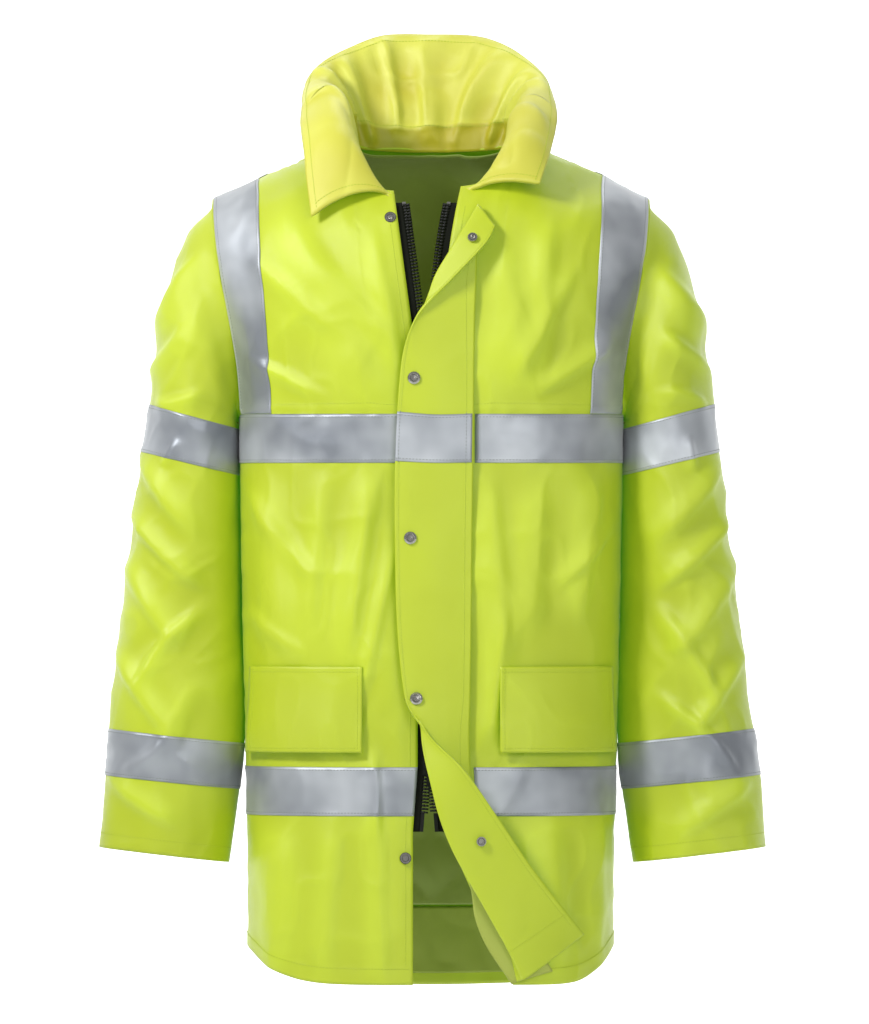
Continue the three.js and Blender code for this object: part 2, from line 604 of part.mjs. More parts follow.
const outerFace = (extra) => (u, v) => COLLAR_FACE + COLLAR_HOLLOW + hoodRoom(u, v) + extra;
const outerRows = [0.12, ...collarRows.slice(1)]; // clear of the shoulder seam below it
add("collar_outer", layer(collar, collarColumns, outerRows, outerFace(0), outerFace(COLLAR_FACE)),
  SHELL_FABRIC);
const HOOD_CLEAR = 1.2;
const hoodColumns = collarColumns.filter((u) => Math.abs(u) < 0.36);
add("stowed_hood", layer(collar, hoodColumns, collarRows.slice(1, -1),
  COLLAR_FACE + HOOD_CLEAR, outerFace(-HOOD_CLEAR)), SHELL_INSIDE);

// ---- Storm flap ----
function flapPoint(u, v) {
  const [seamX, seamZ, rollX, rollZ, rollUp, edgeX, edgeZ, edgeUp] = curve(FLAP_COURSE, v);
  const place = (x, z, up) => [x, bodyY(x, z, -FRONT_DEPTH) - up, z];
  const row = [
    [0, ...place(seamX, seamZ, FLAP_SEAM_UP)],
    [FLAP_ROLL_SHARE, ...place(rollX, rollZ, rollUp)],
    [1, ...place(edgeX, edgeZ, edgeUp)],
  ];
  return new THREE.Vector3(...curve(row, u));
}
const stormFlap = { point: flapPoint, out: 1 };
const flapColumns = [0, 0.12, 0.25, 0.35, 0.4, 0.45, 0.5, 0.56, 0.65, 0.8, 1];
const FLAP_CHEST_TAPE = [0.322, 0.392]; // shares of the flap's length
const FLAP_WAIST_TAPE = [0.82, 0.88];
const flapRows = [0, 0.03, 0.06, 0.09, 0.12, 0.15, 0.18, 0.22, 0.26, ...FLAP_CHEST_TAPE, 0.5, 0.61,
  0.72, 0.75, 0.78, ...FLAP_WAIST_TAPE, 0.91, 0.94, 0.97, 1];
const STUD_SHARE = 1 - STUD_FROM_FLAP_EDGE / FLAP_WIDTH;
// The share of the flap's length at which each stud lies.
const STUD_ROWS = [0.055, 0.272, 0.5, 0.722, 0.91];
const capPlaces = STUD_ROWS.map((v) => placeOn(stormFlap, STUD_SHARE, v, 0));
const flapSheet = layer(stormFlap, flapColumns, flapRows, 0, FLAP_THICK);
add("storm_flap", drilled(flapSheet, capPlaces, SHANK_RADIUS + STUD_GAP), SHELL_FABRIC);
const overFlap = tapeOver(FLAP_THICK + BRACE_GAP);
add("chest_tape_flap", layer(stormFlap, flapColumns.slice(1), FLAP_CHEST_TAPE, ...overFlap), REFLECTIVE);
// The waist tape on the flap shows only beyond the roll, where the flap lies back on itself.
add("waist_tape_flap", layer(stormFlap, flapColumns.slice(-2), FLAP_WAIST_TAPE, ...overFlap), REFLECTIVE);

// ---- Press studs ----
function revolved(outline, place, normal) {
  const ROUND = 14;
  const points = outline.map(([radius, height]) => new THREE.Vector2(radius, height));
  const geometry = new THREE.LatheGeometry(points, ROUND);
  return geometry.applyMatrix4(standing(place, normal));
}
capPlaces.forEach(({ place, normal }, i) => {
  const face = FLAP_THICK + STUD_GAP;
  const socket = -STUD_GAP - SOCKET_HEIGHT;
  const outline = [
    [0, socket + 1.6], [2.3, socket + 1.6], [2.3, socket], [SOCKET_RADIUS, socket],
    [SOCKET_RADIUS, -STUD_GAP], [SHANK_RADIUS, -STUD_GAP], [SHANK_RADIUS, face],
    [STUD_RADIUS, face], [STUD_RADIUS, face + 0.5], [STUD_RADIUS * 0.75, face + STUD_DOME * 0.8],
    [0, face + STUD_DOME],
  ];
  add(`stud_cap_${i + 1}`, revolved(outline, place, normal), METAL);
});
postPlaces.forEach(({ place, normal }, i) => {
  const back = -SHELL - STUD_GAP / 2;
  const outline = [
    [0, back - 0.7], [SOCKET_RADIUS - 1, back - 0.7], [SOCKET_RADIUS - 1, back], [SHANK_RADIUS, back],
    [SHANK_RADIUS, STUD_GAP], [STUD_RADIUS - 0.5, STUD_GAP], [STUD_RADIUS - 0.5, POST_BASE],
    [POST_NUB_RADIUS, POST_BASE], [POST_NUB_RADIUS, POST_NUB], [0, POST_NUB],
  ];
  add(`stud_post_${i + 1}`, revolved(outline, place, normal), METAL);
});

// ---- Pocket flaps, sewn on along their top edge and free below ----
for (const side of ["right", "left"]) {
  const point = (u, v) => {
    const x = lerp(POCKET_INNER_X, POCKET_OUTER_X, u);
    const z = POCKET_TOP - POCKET_FLAP_DROP * v;
    return new THREE.Vector3(SIGN[side] * x, bodyY(x, z, -FRONT_DEPTH), z);
  };
  const surface = { point, out: -SIGN[side] };
  add(`pocket_flap_${side}`, layer(surface, steps(0, 1, 6), [0, 0.5, 1],
    POCKET_FLAP_DEPTH, POCKET_FLAP_DEPTH + POCKET_FLAP_THICK), SHELL_FABRIC);
}

// ---- Zip ----
const CHAIN_FROM_MIDDLE = TEETH_GAP + TEETH_WIDTH / 2;
const chainX = (side, z) =>
  Math.min(frontEdgeX[side](z), side === "left" ? leftTapeLimit(z) : Infinity)
  - SIGN[side] * (EDGE_BACKSET - CHAIN_FROM_MIDDLE);
// The left tape keeps its own line where the front's corner is rolled away from it.
function leftTapeLimit(z) {
  return ZIP_X + EDGE_BACKSET + NECK_V_LEFT * neckV(z) ** 2 + HEM_V * hemV(z);
}
const zipRows = [...steps(ZIP_BOTTOM, BOTTOM_SLIDER_Z, 2), ROUND_FROM, ...steps(ROUND_FROM, ZIP_TOP, 6).slice(1)];
const PIN_TOP = ZIP_BOTTOM + 19;
const STOP_HEIGHT = 4;
function stripSurface(side, from, to) {
  const point = (u, v) => {
    const x = chainX(side, v) + SIGN[side] * lerp(from, to, u);
    return new THREE.Vector3(x, bodyY(x, v, -FRONT_DEPTH), v);
  };
  return { point, out: SIGN[side] };
}
const inZip = (low, high, rows) => rows.filter((z) => z > low && z < high);
const span = (low, high) => [low, ...inZip(low + 1, high - 1, zipRows), high];
for (const side of ["right", "left"]) {
  const half = TEETH_WIDTH / 2;
  const tape = stripSurface(side, half + TOUCH_GAP, half + TOUCH_GAP + ZIP_TAPE_WIDTH);
  const teeth = stripSurface(side, -half, half);
  const tapeHeights = [-ZIP_DEPTH - ZIP_TAPE_THICK / 2, -ZIP_DEPTH + ZIP_TAPE_THICK / 2];
  const teethHeights = [-ZIP_DEPTH - TEETH_THICK / 2, -ZIP_DEPTH + TEETH_THICK / 2];
  const [bottom, top] = [PIN_TOP + TOUCH_GAP, ZIP_TOP - STOP_HEIGHT - TOUCH_GAP];
  add(`zip_tape_${side}`, layer(tape, [0, 1], span(ZIP_BOTTOM, ZIP_TOP), ...tapeHeights), BLACK_TAPE);
  add(`zip_teeth_${side}`, layer(teeth, [0, 1], span(bottom, top), ...teethHeights), BLACK_PLASTIC);
  add(`zip_top_stop_${side}`,
    layer(teeth, [0, 1], [top + TOUCH_GAP, ZIP_TOP], ...teethHeights), METAL);
  const pinName = side === "left" ? "zip_insertion_pin" : "zip_retainer_box";
  add(pinName, layer(teeth, [0, 1], [ZIP_BOTTOM, PIN_TOP], ...teethHeights), BLACK_PLASTIC);
}

// A slider is two plates joined by a narrow bridge that passes between the rows of teeth.
const teethFront = TEETH_THICK / 2 + TOUCH_GAP;
const zipFront = -FRONT_DEPTH + ZIP_DEPTH;
function sliderShape() {
  const [w, b] = [SLIDER_WIDTH / 2, BRIDGE_WIDTH / 2];
  const [inner, outer] = [teethFront, teethFront + SLIDER_PLATE];
  const quarter = [[w, outer], [w, inner], [b, inner]];
  const right = [...quarter, ...quarter.map(([x, y]) => [x, -y]).reverse()];
  const outline = [...right, ...right.map(([x, y]) => [-x, y]).reverse()];
  return new THREE.Shape(outline.map(([x, y]) => new THREE.Vector2(x, y)));
}
const PIVOT_UP = teethFront + SLIDER_PLATE + LUG_HEIGHT / 2; // the pull's pin, in front of the teeth
for (const [name, z] of Object.entries({ top: TOP_SLIDER_Z, bottom: BOTTOM_SLIDER_Z })) {
  const body = new THREE.ExtrudeGeometry(sliderShape(), { depth: SLIDER_LENGTH, bevelEnabled: false });
  body.translate(0, 0, -SLIDER_LENGTH / 2);
  // Two cheeks on the front plate hold a pin that crosses between them.
  const CHEEK = 1;
  const OVERLAP = 0.2;
  const cheekX = PULL_WIDTH / 2 - CHEEK;
  let solid = toSolid(body);
  for (const x of [-cheekX, cheekX]) {
    const cheek = new THREE.BoxGeometry(CHEEK, LUG_HEIGHT + OVERLAP, LUG_HEIGHT);
    cheek.translate(x, -teethFront - SLIDER_PLATE - (LUG_HEIGHT - OVERLAP) / 2, 0);
    solid = solid.add(toSolid(cheek));
  }
  const pin = new THREE.CylinderGeometry(LUG_RADIUS, LUG_RADIUS, 2 * cheekX, 12);
  pin.rotateZ(Math.PI / 2).translate(0, -PIVOT_UP, 0);
  solid = solid.add(toSolid(pin));
  const slider = add(`zip_slider_${name}`, fromSolid(solid), BLACK_PLASTIC);
  slider.position.set(ZIP_X, zipFront, z);

  const plate = new THREE.Shape();
  const [w, length] = [cheekX - CHEEK / 2 - TOUCH_GAP, PULL_LENGTH];
  plate.moveTo(-w, LUG_RADIUS + 1.2);
  plate.lineTo(-w, -length + w);
  plate.absarc(0, -length + w, w, Math.PI, 2 * Math.PI, false);
  plate.lineTo(w, LUG_RADIUS + 1.2);
  const hole = (y, radius) => {
    const ring = new THREE.Path();
    ring.absarc(0, y, radius, 0, 2 * Math.PI, true);
    plate.holes.push(ring);
  };
  hole(-length + w, PULL_HOLE);
  const blade = new THREE.ExtrudeGeometry(plate, {
    depth: PULL_THICK, bevelEnabled: false, curveSegments: 8,
  });
  blade.translate(0, 0, -PULL_THICK / 2).rotateX(Math.PI / 2);
  const eye = new THREE.CylinderGeometry(LUG_RADIUS + 0.9, LUG_RADIUS + 0.9, 2 * w, 16);
  eye.rotateZ(Math.PI / 2);
  const bore = new THREE.CylinderGeometry(LUG_RADIUS + TOUCH_GAP, LUG_RADIUS + TOUCH_GAP, 4 * w, 16);
  bore.rotateZ(Math.PI / 2);
  const pullSolid = toSolid(blade).add(toSolid(eye)).subtract(toSolid(bore));
  const pull = add(`zip_pull_${name}`, fromSolid(pullSolid), BLACK_PLASTIC);
  pull.position.set(ZIP_X, zipFront - PIVOT_UP, z);
}

export default jacket;
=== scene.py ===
# %% [markdown]
# # A high visibility traffic jacket
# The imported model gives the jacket's frame: where every panel, tape, zip part and stud is. Its
# fabric is plain there. This script keeps the zip and its sliders and remakes the fabric with
# folds, seams, stitches and a woven finish.

# %% Load the frame
import math

import bmesh
import bpy
import numpy as np
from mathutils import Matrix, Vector


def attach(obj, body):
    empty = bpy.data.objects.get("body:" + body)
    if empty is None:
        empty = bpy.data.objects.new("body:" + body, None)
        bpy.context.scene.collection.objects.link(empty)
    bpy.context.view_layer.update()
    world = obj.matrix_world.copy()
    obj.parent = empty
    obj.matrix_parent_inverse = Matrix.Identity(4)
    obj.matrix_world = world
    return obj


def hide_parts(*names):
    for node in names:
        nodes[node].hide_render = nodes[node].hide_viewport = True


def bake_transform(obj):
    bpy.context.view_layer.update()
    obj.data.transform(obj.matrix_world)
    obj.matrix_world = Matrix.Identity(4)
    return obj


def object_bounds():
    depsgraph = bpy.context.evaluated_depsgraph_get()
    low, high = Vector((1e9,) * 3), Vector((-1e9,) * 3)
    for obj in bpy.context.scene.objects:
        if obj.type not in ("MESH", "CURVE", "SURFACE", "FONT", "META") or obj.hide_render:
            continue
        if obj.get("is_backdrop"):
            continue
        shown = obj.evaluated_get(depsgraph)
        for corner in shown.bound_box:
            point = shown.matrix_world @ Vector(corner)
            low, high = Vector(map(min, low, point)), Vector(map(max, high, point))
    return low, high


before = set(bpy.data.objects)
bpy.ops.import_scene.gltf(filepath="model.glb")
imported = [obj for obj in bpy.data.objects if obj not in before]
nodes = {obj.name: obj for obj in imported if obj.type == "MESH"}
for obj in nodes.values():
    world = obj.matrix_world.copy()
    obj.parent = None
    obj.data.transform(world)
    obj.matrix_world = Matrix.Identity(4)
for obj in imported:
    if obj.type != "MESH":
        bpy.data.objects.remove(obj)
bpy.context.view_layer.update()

# %% [markdown]
# ## Helpers
# Every part of the scene adds objects, sets the inputs of nodes and links their sockets. Each of
# these takes several calls in Blender, so short functions hold them, and the code that follows
# reads as what is made. The last one maps a value from one range to another inside a node tree.

# %% Helpers for objects and node trees
def add_object(name, data):
    added = bpy.data.objects.new(name, data)
    bpy.context.scene.collection.objects.link(added)
    return added


def set_inputs(node, values):
    for label, value in values.items():
        node.inputs[label].default_value = value


def wire(tree, *pairs):
    """Links sockets, given as pairs of a source and a target."""
    for source, target in pairs:
        tree.links.new(source, target)


def ranged(tree, value, low, high, to_low=0.0, to_high=1.0):
    node = tree.nodes.new("ShaderNodeMapRange")
    set_inputs(node, {"From Min": low, "From Max": high, "To Min": to_low, "To Max": to_high})
    wire(tree, (value, node.inputs["Value"]))
    return node.outputs[0]

# %% [markdown]
# ## Camera
# A long lens far in front of the jacket flattens it as a catalogue picture does. The view is level
# and covers the jacket with a narrow white margin.

# %% Camera
VIEW_CENTRE = Vector((0.0036, -0.05, -0.3735))
VIEW_HEIGHT = 1.0547
CAMERA_DISTANCE = 14.0
SENSOR = 36.0

camera_data = bpy.data.cameras.new("camera")
camera_data.sensor_width = SENSOR
camera_data.lens = SENSOR * CAMERA_DISTANCE / VIEW_HEIGHT
camera_data.clip_end = 60
camera = add_object("camera", camera_data)
camera.location = VIEW_CENTRE + Vector((0, -CAMERA_DISTANCE, 0))
camera.rotation_euler = (math.radians(90), 0, 0)
bpy.context.scene.camera = camera
print("lens", round(camera_data.lens, 1))

# %% [markdown]
# ## Studio
# A white sweep, floor and wall in one curved sheet, lies well below and behind the jacket. A large
# soft light high on the left gives the folds their shading, a weaker one fills from the right, and
# a pale world lights the rest. The sweep is clear from behind, so that the back can be seen too.

# %% Studio
def area_light(name, place, target, size, power):
    data = bpy.data.lights.new(name, "AREA")
    data.shape = "DISK"
    data.size = size
    data.energy = power
    light = add_object(name, data)
    light.location = place
    light.rotation_euler = (Vector(target) - Vector(place)).to_track_quat("-Z", "Y").to_euler()


MIDDLE = (0, 0, -0.35)
area_light("key", (-1.25, -1.35, 0.85), (-0.05, 0, -0.15), 0.5, 38)
area_light("fill", (1.0, -2.8, 0.5), MIDDLE, 1.4, 26)
area_light("top", (0.3, 0.9, 2.2), MIDDLE, 1.0, 14)

WORLD_LIGHT = 0.34
world = bpy.data.worlds.new("studio")
world.use_nodes = True
surround = world.node_tree.nodes["Background"]
surround.inputs["Color"].default_value = (1, 1, 1, 1)
light_path = world.node_tree.nodes.new("ShaderNodeLightPath")
pale = ranged(world.node_tree, light_path.outputs["Is Camera Ray"], 0, 1, WORLD_LIGHT, 1)
wire(world.node_tree, (pale, surround.inputs["Strength"]))
bpy.context.scene.world = world
bpy.context.scene.view_settings.view_transform = "Standard"

# %% [markdown]
# A flat wall and floor would show a line where they meet, so the paper bends between them in an arc,
# as in a real studio. Its glow rises from the floor to the wall: the background stays white behind
# the jacket, and little light comes up from below.

# %% The white sweep
FLOOR_Z = -1.45
FLOOR_FRONT_Y = -7.0
WALL_Y = 2.6
WALL_TOP = 5.0
SWEEP_RADIUS = 1.2
SWEEP_HALF_WIDTH = 8


def sweep_profile(count=16):
    """The sweep's section from the front of the floor to the top of the wall, as y and z."""
    turn = [i / count * math.pi / 2 for i in range(count + 1)]
    bend = [(WALL_Y - SWEEP_RADIUS + SWEEP_RADIUS * math.sin(a),
             FLOOR_Z + SWEEP_RADIUS * (1 - math.cos(a))) for a in turn]
    return [(FLOOR_FRONT_Y, FLOOR_Z), *bend, (WALL_Y, WALL_TOP)]


def white_paper():
    """Paper that glows where it rises behind the jacket, and that is clear from behind."""
    paper = bpy.data.materials.new("white paper")
    paper.use_nodes = True
    tree = paper.node_tree
    shader = tree.nodes["Principled BSDF"]
    set_inputs(shader, {"Base Color": (0.9, 0.91, 0.9, 1), "Roughness": 0.9,
                        "Emission Color": (1, 1, 1, 1)})
    place = tree.nodes.new("ShaderNodeTexCoord")
    height = tree.nodes.new("ShaderNodeSeparateXYZ")
    glow = ranged(tree, height.outputs["Z"], FLOOR_Z + 0.1, FLOOR_Z + 0.5, 0.05, 0.85)
    facing = tree.nodes.new("ShaderNodeNewGeometry")
    clear = tree.nodes.new("ShaderNodeBsdfTransparent")
    choice = tree.nodes.new("ShaderNodeMixShader")
    wire(tree, (place.outputs["Object"], height.inputs[0]), (glow, shader.inputs["Emission Strength"]),
         (facing.outputs["Backfacing"], choice.inputs[0]), (shader.outputs[0], choice.inputs[1]),
         (clear.outputs[0], choice.inputs[2]),
         (choice.outputs[0], tree.nodes["Material Output"].inputs["Surface"]))
    return paper


profile = sweep_profile()
sweep_mesh = bpy.data.meshes.new("studio_sweep")
sweep_mesh.from_pydata([(x, y, z) for y, z in profile for x in (-SWEEP_HALF_WIDTH, SWEEP_HALF_WIDTH)], [],
                       [(2 * i, 2 * i + 1, 2 * i + 3, 2 * i + 2) for i in range(len(profile) - 1)])
sweep_mesh.materials.append(white_paper())
studio_sweep = add_object("studio_sweep", sweep_mesh)
studio_sweep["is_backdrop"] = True

# %% [markdown]
# ## The jacket's surfaces
# Every layer of fabric follows one of four surfaces: the body, a sleeve, the collar or the storm
# flap. Each is a function from two shares to a place, the same one that the CAD part uses, so each
# remade panel lies where its CAD sheet lies. All lengths here are millimetres.

# %% Sizes that the surfaces share
FRONT_LENGTH = 858
TAIL_DROP = 8
SIDE_RISE = 36
CORNER_POWER = 6
CHEST_HALF = 198
HEM_HALF = 188
FRONT_DEPTH = 132
BACK_DEPTH = 126
SQUARENESS = 2.8
SHOULDER_HALF = 226
SHOULDER_DROP = 50
SHOULDER_FLARE = 48
RIDGE_BACK = 10
ROUND_FROM = -160
FRONT_ROUNDNESS = 2.2
BACK_ROUNDNESS = 3
NECK_HALF = 84
NECK_RISE = 10
NAPE_RISE = 4
TAPE_WIDTH = 50
CHEST_TAPE_TOP = -273
WAIST_TAPE_TOP = -635
ZIP_X = -2
EDGE_BACKSET = 11
ZIP_TOP = -54
ZIP_BOTTOM = -701
TOP_SLIDER_Z = -232
BOTTOM_SLIDER_Z = -634
NECK_V = {"right": 24, "left": 19}
NECK_V_POWER = {"right": 1, "left": 2}
NECK_V_START = 7
HEM_V = 5
LEFT_ROLL = 70
FRONT_NECK_Z = {"right": -43, "left": -38}
SIGN = {"right": -1, "left": 1}


# %% Small helpers
def lerp(a, b, t):
    return a + (b - a) * t


def ease(t):
    t = np.clip(t, 0, 1)
    return t * t * (3 - 2 * t)


def hermite(share, start, end, start_slope, end_slope):
    """A smooth step from start to end. The slopes are for the whole step."""
    s2, s3 = share ** 2, share ** 3
    return ((2 * s3 - 3 * s2 + 1) * start + (s3 - 2 * s2 + share) * start_slope
            + (3 * s2 - 2 * s3) * end + (s3 - s2) * end_slope)


def course(rows, t):
    """Smooth curve through rows of [t, a, b, ...], for an array of t."""
    rows = np.asarray(rows, float)
    times, values = rows[:, 0], rows[:, 1:]
    t = np.asarray(t, float)
    last = len(times) - 1
    i = np.clip(np.searchsorted(times, t, side="right") - 1, 0, last - 1)
    before, after = np.clip(i - 1, 0, last), np.clip(i + 2, 0, last)
    span = times[i + 1] - times[i]
    share = np.clip((t - times[i]) / span, 0, 1)[..., None]
    slope0 = (values[i + 1] - values[before]) / (times[i + 1] - times[before])[..., None]
    slope1 = (values[after] - values[i]) / (times[after] - times[i])[..., None]
    slope0, slope1 = slope0 * span[..., None], slope1 * span[..., None]
    return np.moveaxis(hermite(share, values[i], values[i + 1], slope0, slope1), -1, 0)


# %% The body's depth and edges
def up_shoulder(z):
    return ease((z - CHEST_TAPE_TOP) / (-SHOULDER_DROP - CHEST_TAPE_TOP))


def armhole_x(z):
    return CHEST_HALF + (SHOULDER_HALF - CHEST_HALF) * up_shoulder(z)


def section_half(z):
    low = lerp(CHEST_HALF, HEM_HALF, ease((CHEST_TAPE_TOP - z) / (CHEST_TAPE_TOP + FRONT_LENGTH)))
    return np.where(z > CHEST_TAPE_TOP, CHEST_HALF + SHOULDER_FLARE * up_shoulder(z), low)


def ridge_z(x):
    out = np.clip((np.abs(x) - NECK_HALF) / (SHOULDER_HALF - NECK_HALF), 0, 1.2)
    return NECK_RISE - (NECK_RISE + SHOULDER_DROP) * out ** 1.1


def body_y(x, z, depth):
    reach = np.clip(np.abs(x) / section_half(z), 0, 1)
    section = (1 - reach ** SQUARENESS) ** (1 / SQUARENESS)
    up = np.clip((z - ROUND_FROM) / (ridge_z(x) - ROUND_FROM), 0, 1)
    roundness = FRONT_ROUNDNESS if depth < 0 else BACK_ROUNDNESS
    closing = (1 - up ** roundness) ** (1 / roundness)
    return RIDGE_BACK * up * up + depth * section * closing


def edge_from_zip(side, z):
    """How far a front's edge stands from the zip's middle, before the left corner's roll."""
    neck = np.clip((z - TOP_SLIDER_Z - NECK_V_START) / (ZIP_TOP - TOP_SLIDER_Z), 0, 1.06)
    hem = np.clip((BOTTOM_SLIDER_Z - z) / (BOTTOM_SLIDER_Z - ZIP_BOTTOM), 0, 1)
    return EDGE_BACKSET + NECK_V[side] * neck ** NECK_V_POWER[side] + HEM_V * hem


def front_edge_x(side, z):
    rolled = LEFT_ROLL * np.clip((ZIP_BOTTOM - z) / (ZIP_BOTTOM + FRONT_LENGTH), 0, 1.1)
    return ZIP_X + SIGN[side] * edge_from_zip(side, z) + (rolled if side == "left" else 0)


def hem_z(x, back):
    drop = TAIL_DROP if back else 0
    across = x / HEM_HALF
    return -FRONT_LENGTH + SIDE_RISE * across ** CORNER_POWER - drop * (1 - across ** 2)


def neckline_z(x, centre_x, centre_z):
    along = np.clip((np.abs(x) - centre_x) / (NECK_HALF - centre_x), 0, 1)
    return centre_z + (NECK_RISE - centre_z) * (1 - np.sqrt(1 - along ** 2))


# %% A panel's place for two shares
ROW_Z = [WAIST_TAPE_TOP - TAPE_WIDTH, WAIST_TAPE_TOP, CHEST_TAPE_TOP - TAPE_WIDTH, CHEST_TAPE_TOP]


def panel_place(a, row, centre_x, hem, top_of, top_centre_x):
    """x and z of a panel: a runs from its centre edge to its side, row from hem 0 to top 5."""
    out = np.sin(np.clip(a, 0, 1) * np.pi / 2)

    def across(z):
        return lerp(centre_x(z), section_half(z), out)

    z = np.interp(row, [1, 2, 3, 4], ROW_Z)
    z = np.where(row < 1, lerp(hem(across(z)), ROW_Z[0], np.clip(row, 0, 1)), z)
    x = across(z)
    up = np.clip(row - 4, 0, 1)
    top_x = lerp(top_centre_x, SHOULDER_HALF, out)
    high_z = lerp(CHEST_TAPE_TOP, top_of(top_x), up)
    base_edge = centre_x(np.array(float(CHEST_TAPE_TOP)))
    straight = lerp(lerp(base_edge, CHEST_HALF, out), top_x, up)
    to_armhole = (armhole_x(high_z) - lerp(CHEST_HALF, SHOULDER_HALF, up)) * out ** 4
    to_centre = (centre_x(high_z) - lerp(base_edge, top_centre_x, up)) * (1 - out) ** 3
    x = np.where(row > 4, straight + to_armhole + to_centre, x)
    return x, np.where(row > 4, high_z, z)


def front_surface(side):
    def edge(z):
        return SIGN[side] * front_edge_x(side, z)

    centre_z = FRONT_NECK_Z[side]
    centre_x = edge(np.array(float(centre_z)))

    def top(x):
        return np.where(x > NECK_HALF, ridge_z(x), neckline_z(x, centre_x, centre_z))

    def place(a, row):
        x, z = panel_place(a, row, edge, lambda q: hem_z(q, False), top, centre_x)
        return np.stack([SIGN[side] * x, body_y(x, z, -FRONT_DEPTH), z], -1)

    return place


def back_surface(a, row):
    def top(x):
        return np.where(x > NECK_HALF, ridge_z(x), neckline_z(x, 0, NAPE_RISE))

    x, z = panel_place(np.abs(a), row, lambda q: 0 * q, lambda q: hem_z(q, True), top, 0)
    return np.stack([np.sign(a) * x, body_y(x, z, BACK_DEPTH), z], -1)


# %% [markdown]
# Each sleeve is a tube between an outer and an inner line, slightly bent at the elbow. The collar
# stands at the back and rolls out at both sides. The storm flap is closed along the middle and
# turned back at the top and bottom. Their courses hold only the few places that the shape needs.

# %% Sleeve, collar and storm flap surfaces
SLEEVE_DEPTHS = (62, 78, 56)
TUCK = 1.5
SLEEVE_OUTER = [[0, 226, -50], [0.08, 251, -82], [0.2, 276, -155], [0.33, 293, -262],
                [0.4, 300, -311], [0.6, 315, -443], [0.82, 334, -597], [1, 347, -719]]
SLEEVE_INNER = [[0, 198, -273], [0.08, 199, -277], [0.2, 200, -281], [0.33, 199, -288],
                [0.4, 198, -336], [0.6, 195, -470], [0.82, 193, -612], [1, 209, -735]]
UPPER_TAPE = (0.33, 0.40)
LOWER_TAPE = (0.82, 0.89)


def sleeve_surface(side):
    def place(u, v):
        outer_x, outer_z = course(SLEEVE_OUTER, v)
        inner_x, inner_z = course(SLEEVE_INNER, v)
        top, arm, cuff = SLEEVE_DEPTHS
        depth = lerp(lerp(top, arm, ease(v / 0.2)), cuff, v)
        out = np.cos(u * 2 * np.pi)
        x = (outer_x + inner_x) / 2 + (outer_x - inner_x) / 2 * out
        y = depth * np.sin(u * 2 * np.pi)
        z = (outer_z + inner_z) / 2 + (outer_z - inner_z) / 2 * out
        hole_x = armhole_x(z) - TUCK
        at_front, at_back = body_y(hole_x, z, -FRONT_DEPTH), body_y(hole_x, z, BACK_DEPTH)
        hole_y = np.where(y < 0, at_front, at_back)
        away = ease(v / 0.09)
        return np.stack([SIGN[side] * lerp(hole_x, x, away), lerp(hole_y, y, away), z], -1)

    return place


COLLAR_SEAM_GAP = -4
COLLAR_COURSE = [
    [-1, -37, -80, -114, -46, -123, -119, -70],
    [-0.8, -55, -89, -88, 16, -131, -88, -6],
    [-0.55, -74, -95, -22, 60, -134, -30, 38],
    [-0.32, -70, -96, 50, 66, -121, 52, 86],
    [-0.14, -34, -42, 80, 62, -60, 98, 120],
    [0, 0, 0, 84, 62, 0, 104, 124],
    [0.14, 34, 40, 80, 62, 62, 98, 119],
    [0.32, 70, 92, 50, 62, 112, 52, 86],
    [0.55, 77, 94, -22, 54, 130, -30, 42],
    [0.8, 56, 88, -88, 14, 123, -84, -2],
    [1, 34, 72, -112, -34, 112, -114, -36],
]


def collar_surface(u, v):
    seam_x, mx, my, mz, ex, ey, ez = course(COLLAR_COURSE, u)
    side_z = {s: neckline_z(seam_x, SIGN[s] * front_edge_x(s, np.array(float(FRONT_NECK_Z[s]))),
                            FRONT_NECK_Z[s]) for s in SIGN}
    on_front = np.where(u < 0, side_z["right"], side_z["left"])
    at_front = ease((np.abs(u) - 0.42) / 0.2)
    seam_z = np.where(np.abs(u) > 0.55, on_front, neckline_z(seam_x, 0, NAPE_RISE))
    seam_y = lerp(body_y(seam_x, seam_z, BACK_DEPTH), body_y(seam_x, seam_z, -FRONT_DEPTH), at_front)
    seam = np.stack([seam_x, seam_y, seam_z + COLLAR_SEAM_GAP], -1)
    middle, edge = np.stack([mx, my, mz], -1), np.stack([ex, ey, ez], -1)
    bend = 2 * middle - 0.5 * seam - 0.5 * edge
    v = np.asarray(v)[..., None]
    return (1 - v) ** 2 * seam + 2 * v * (1 - v) * bend + v ** 2 * edge


FLAP_THICK = 2.2
FLAP_SEAM_UP = 3.6
FLAP_ROLL_SHARE = 0.45
FLAP_COURSE = [
    [0, 46, -62, 49, -58, 12, 66, -80, 16],
    [0.06, 46, -100, 26, -94, 16, 55, -99, 22],
    [0.12, 46, -134, 3, -134, 14, 22, -133, 24],
    [0.18, 45, -168, 0, -166, 10, -14, -170, 15],
    [0.26, 44, -228, 5, -229, 9, -31, -226, 9],
    [0.5, 42, -400, 3, -400, 9, -37, -400, 9],
    [0.72, 40, -560, 4, -563, 9, -27, -563, 9],
    [0.78, 39, -604, -8, -609, 18, -3, -602, 24],
    [0.84, 40, -650, 0, -657, 26, 33, -636, 30],
    [0.9, 44, -702, 20, -716, 26, 68, -685, 28],
    [0.95, 66, -770, 52, -772, 18, 106, -741, 22],
    [1, 88, -855, 102, -848, 10, 158, -807, 16],
]


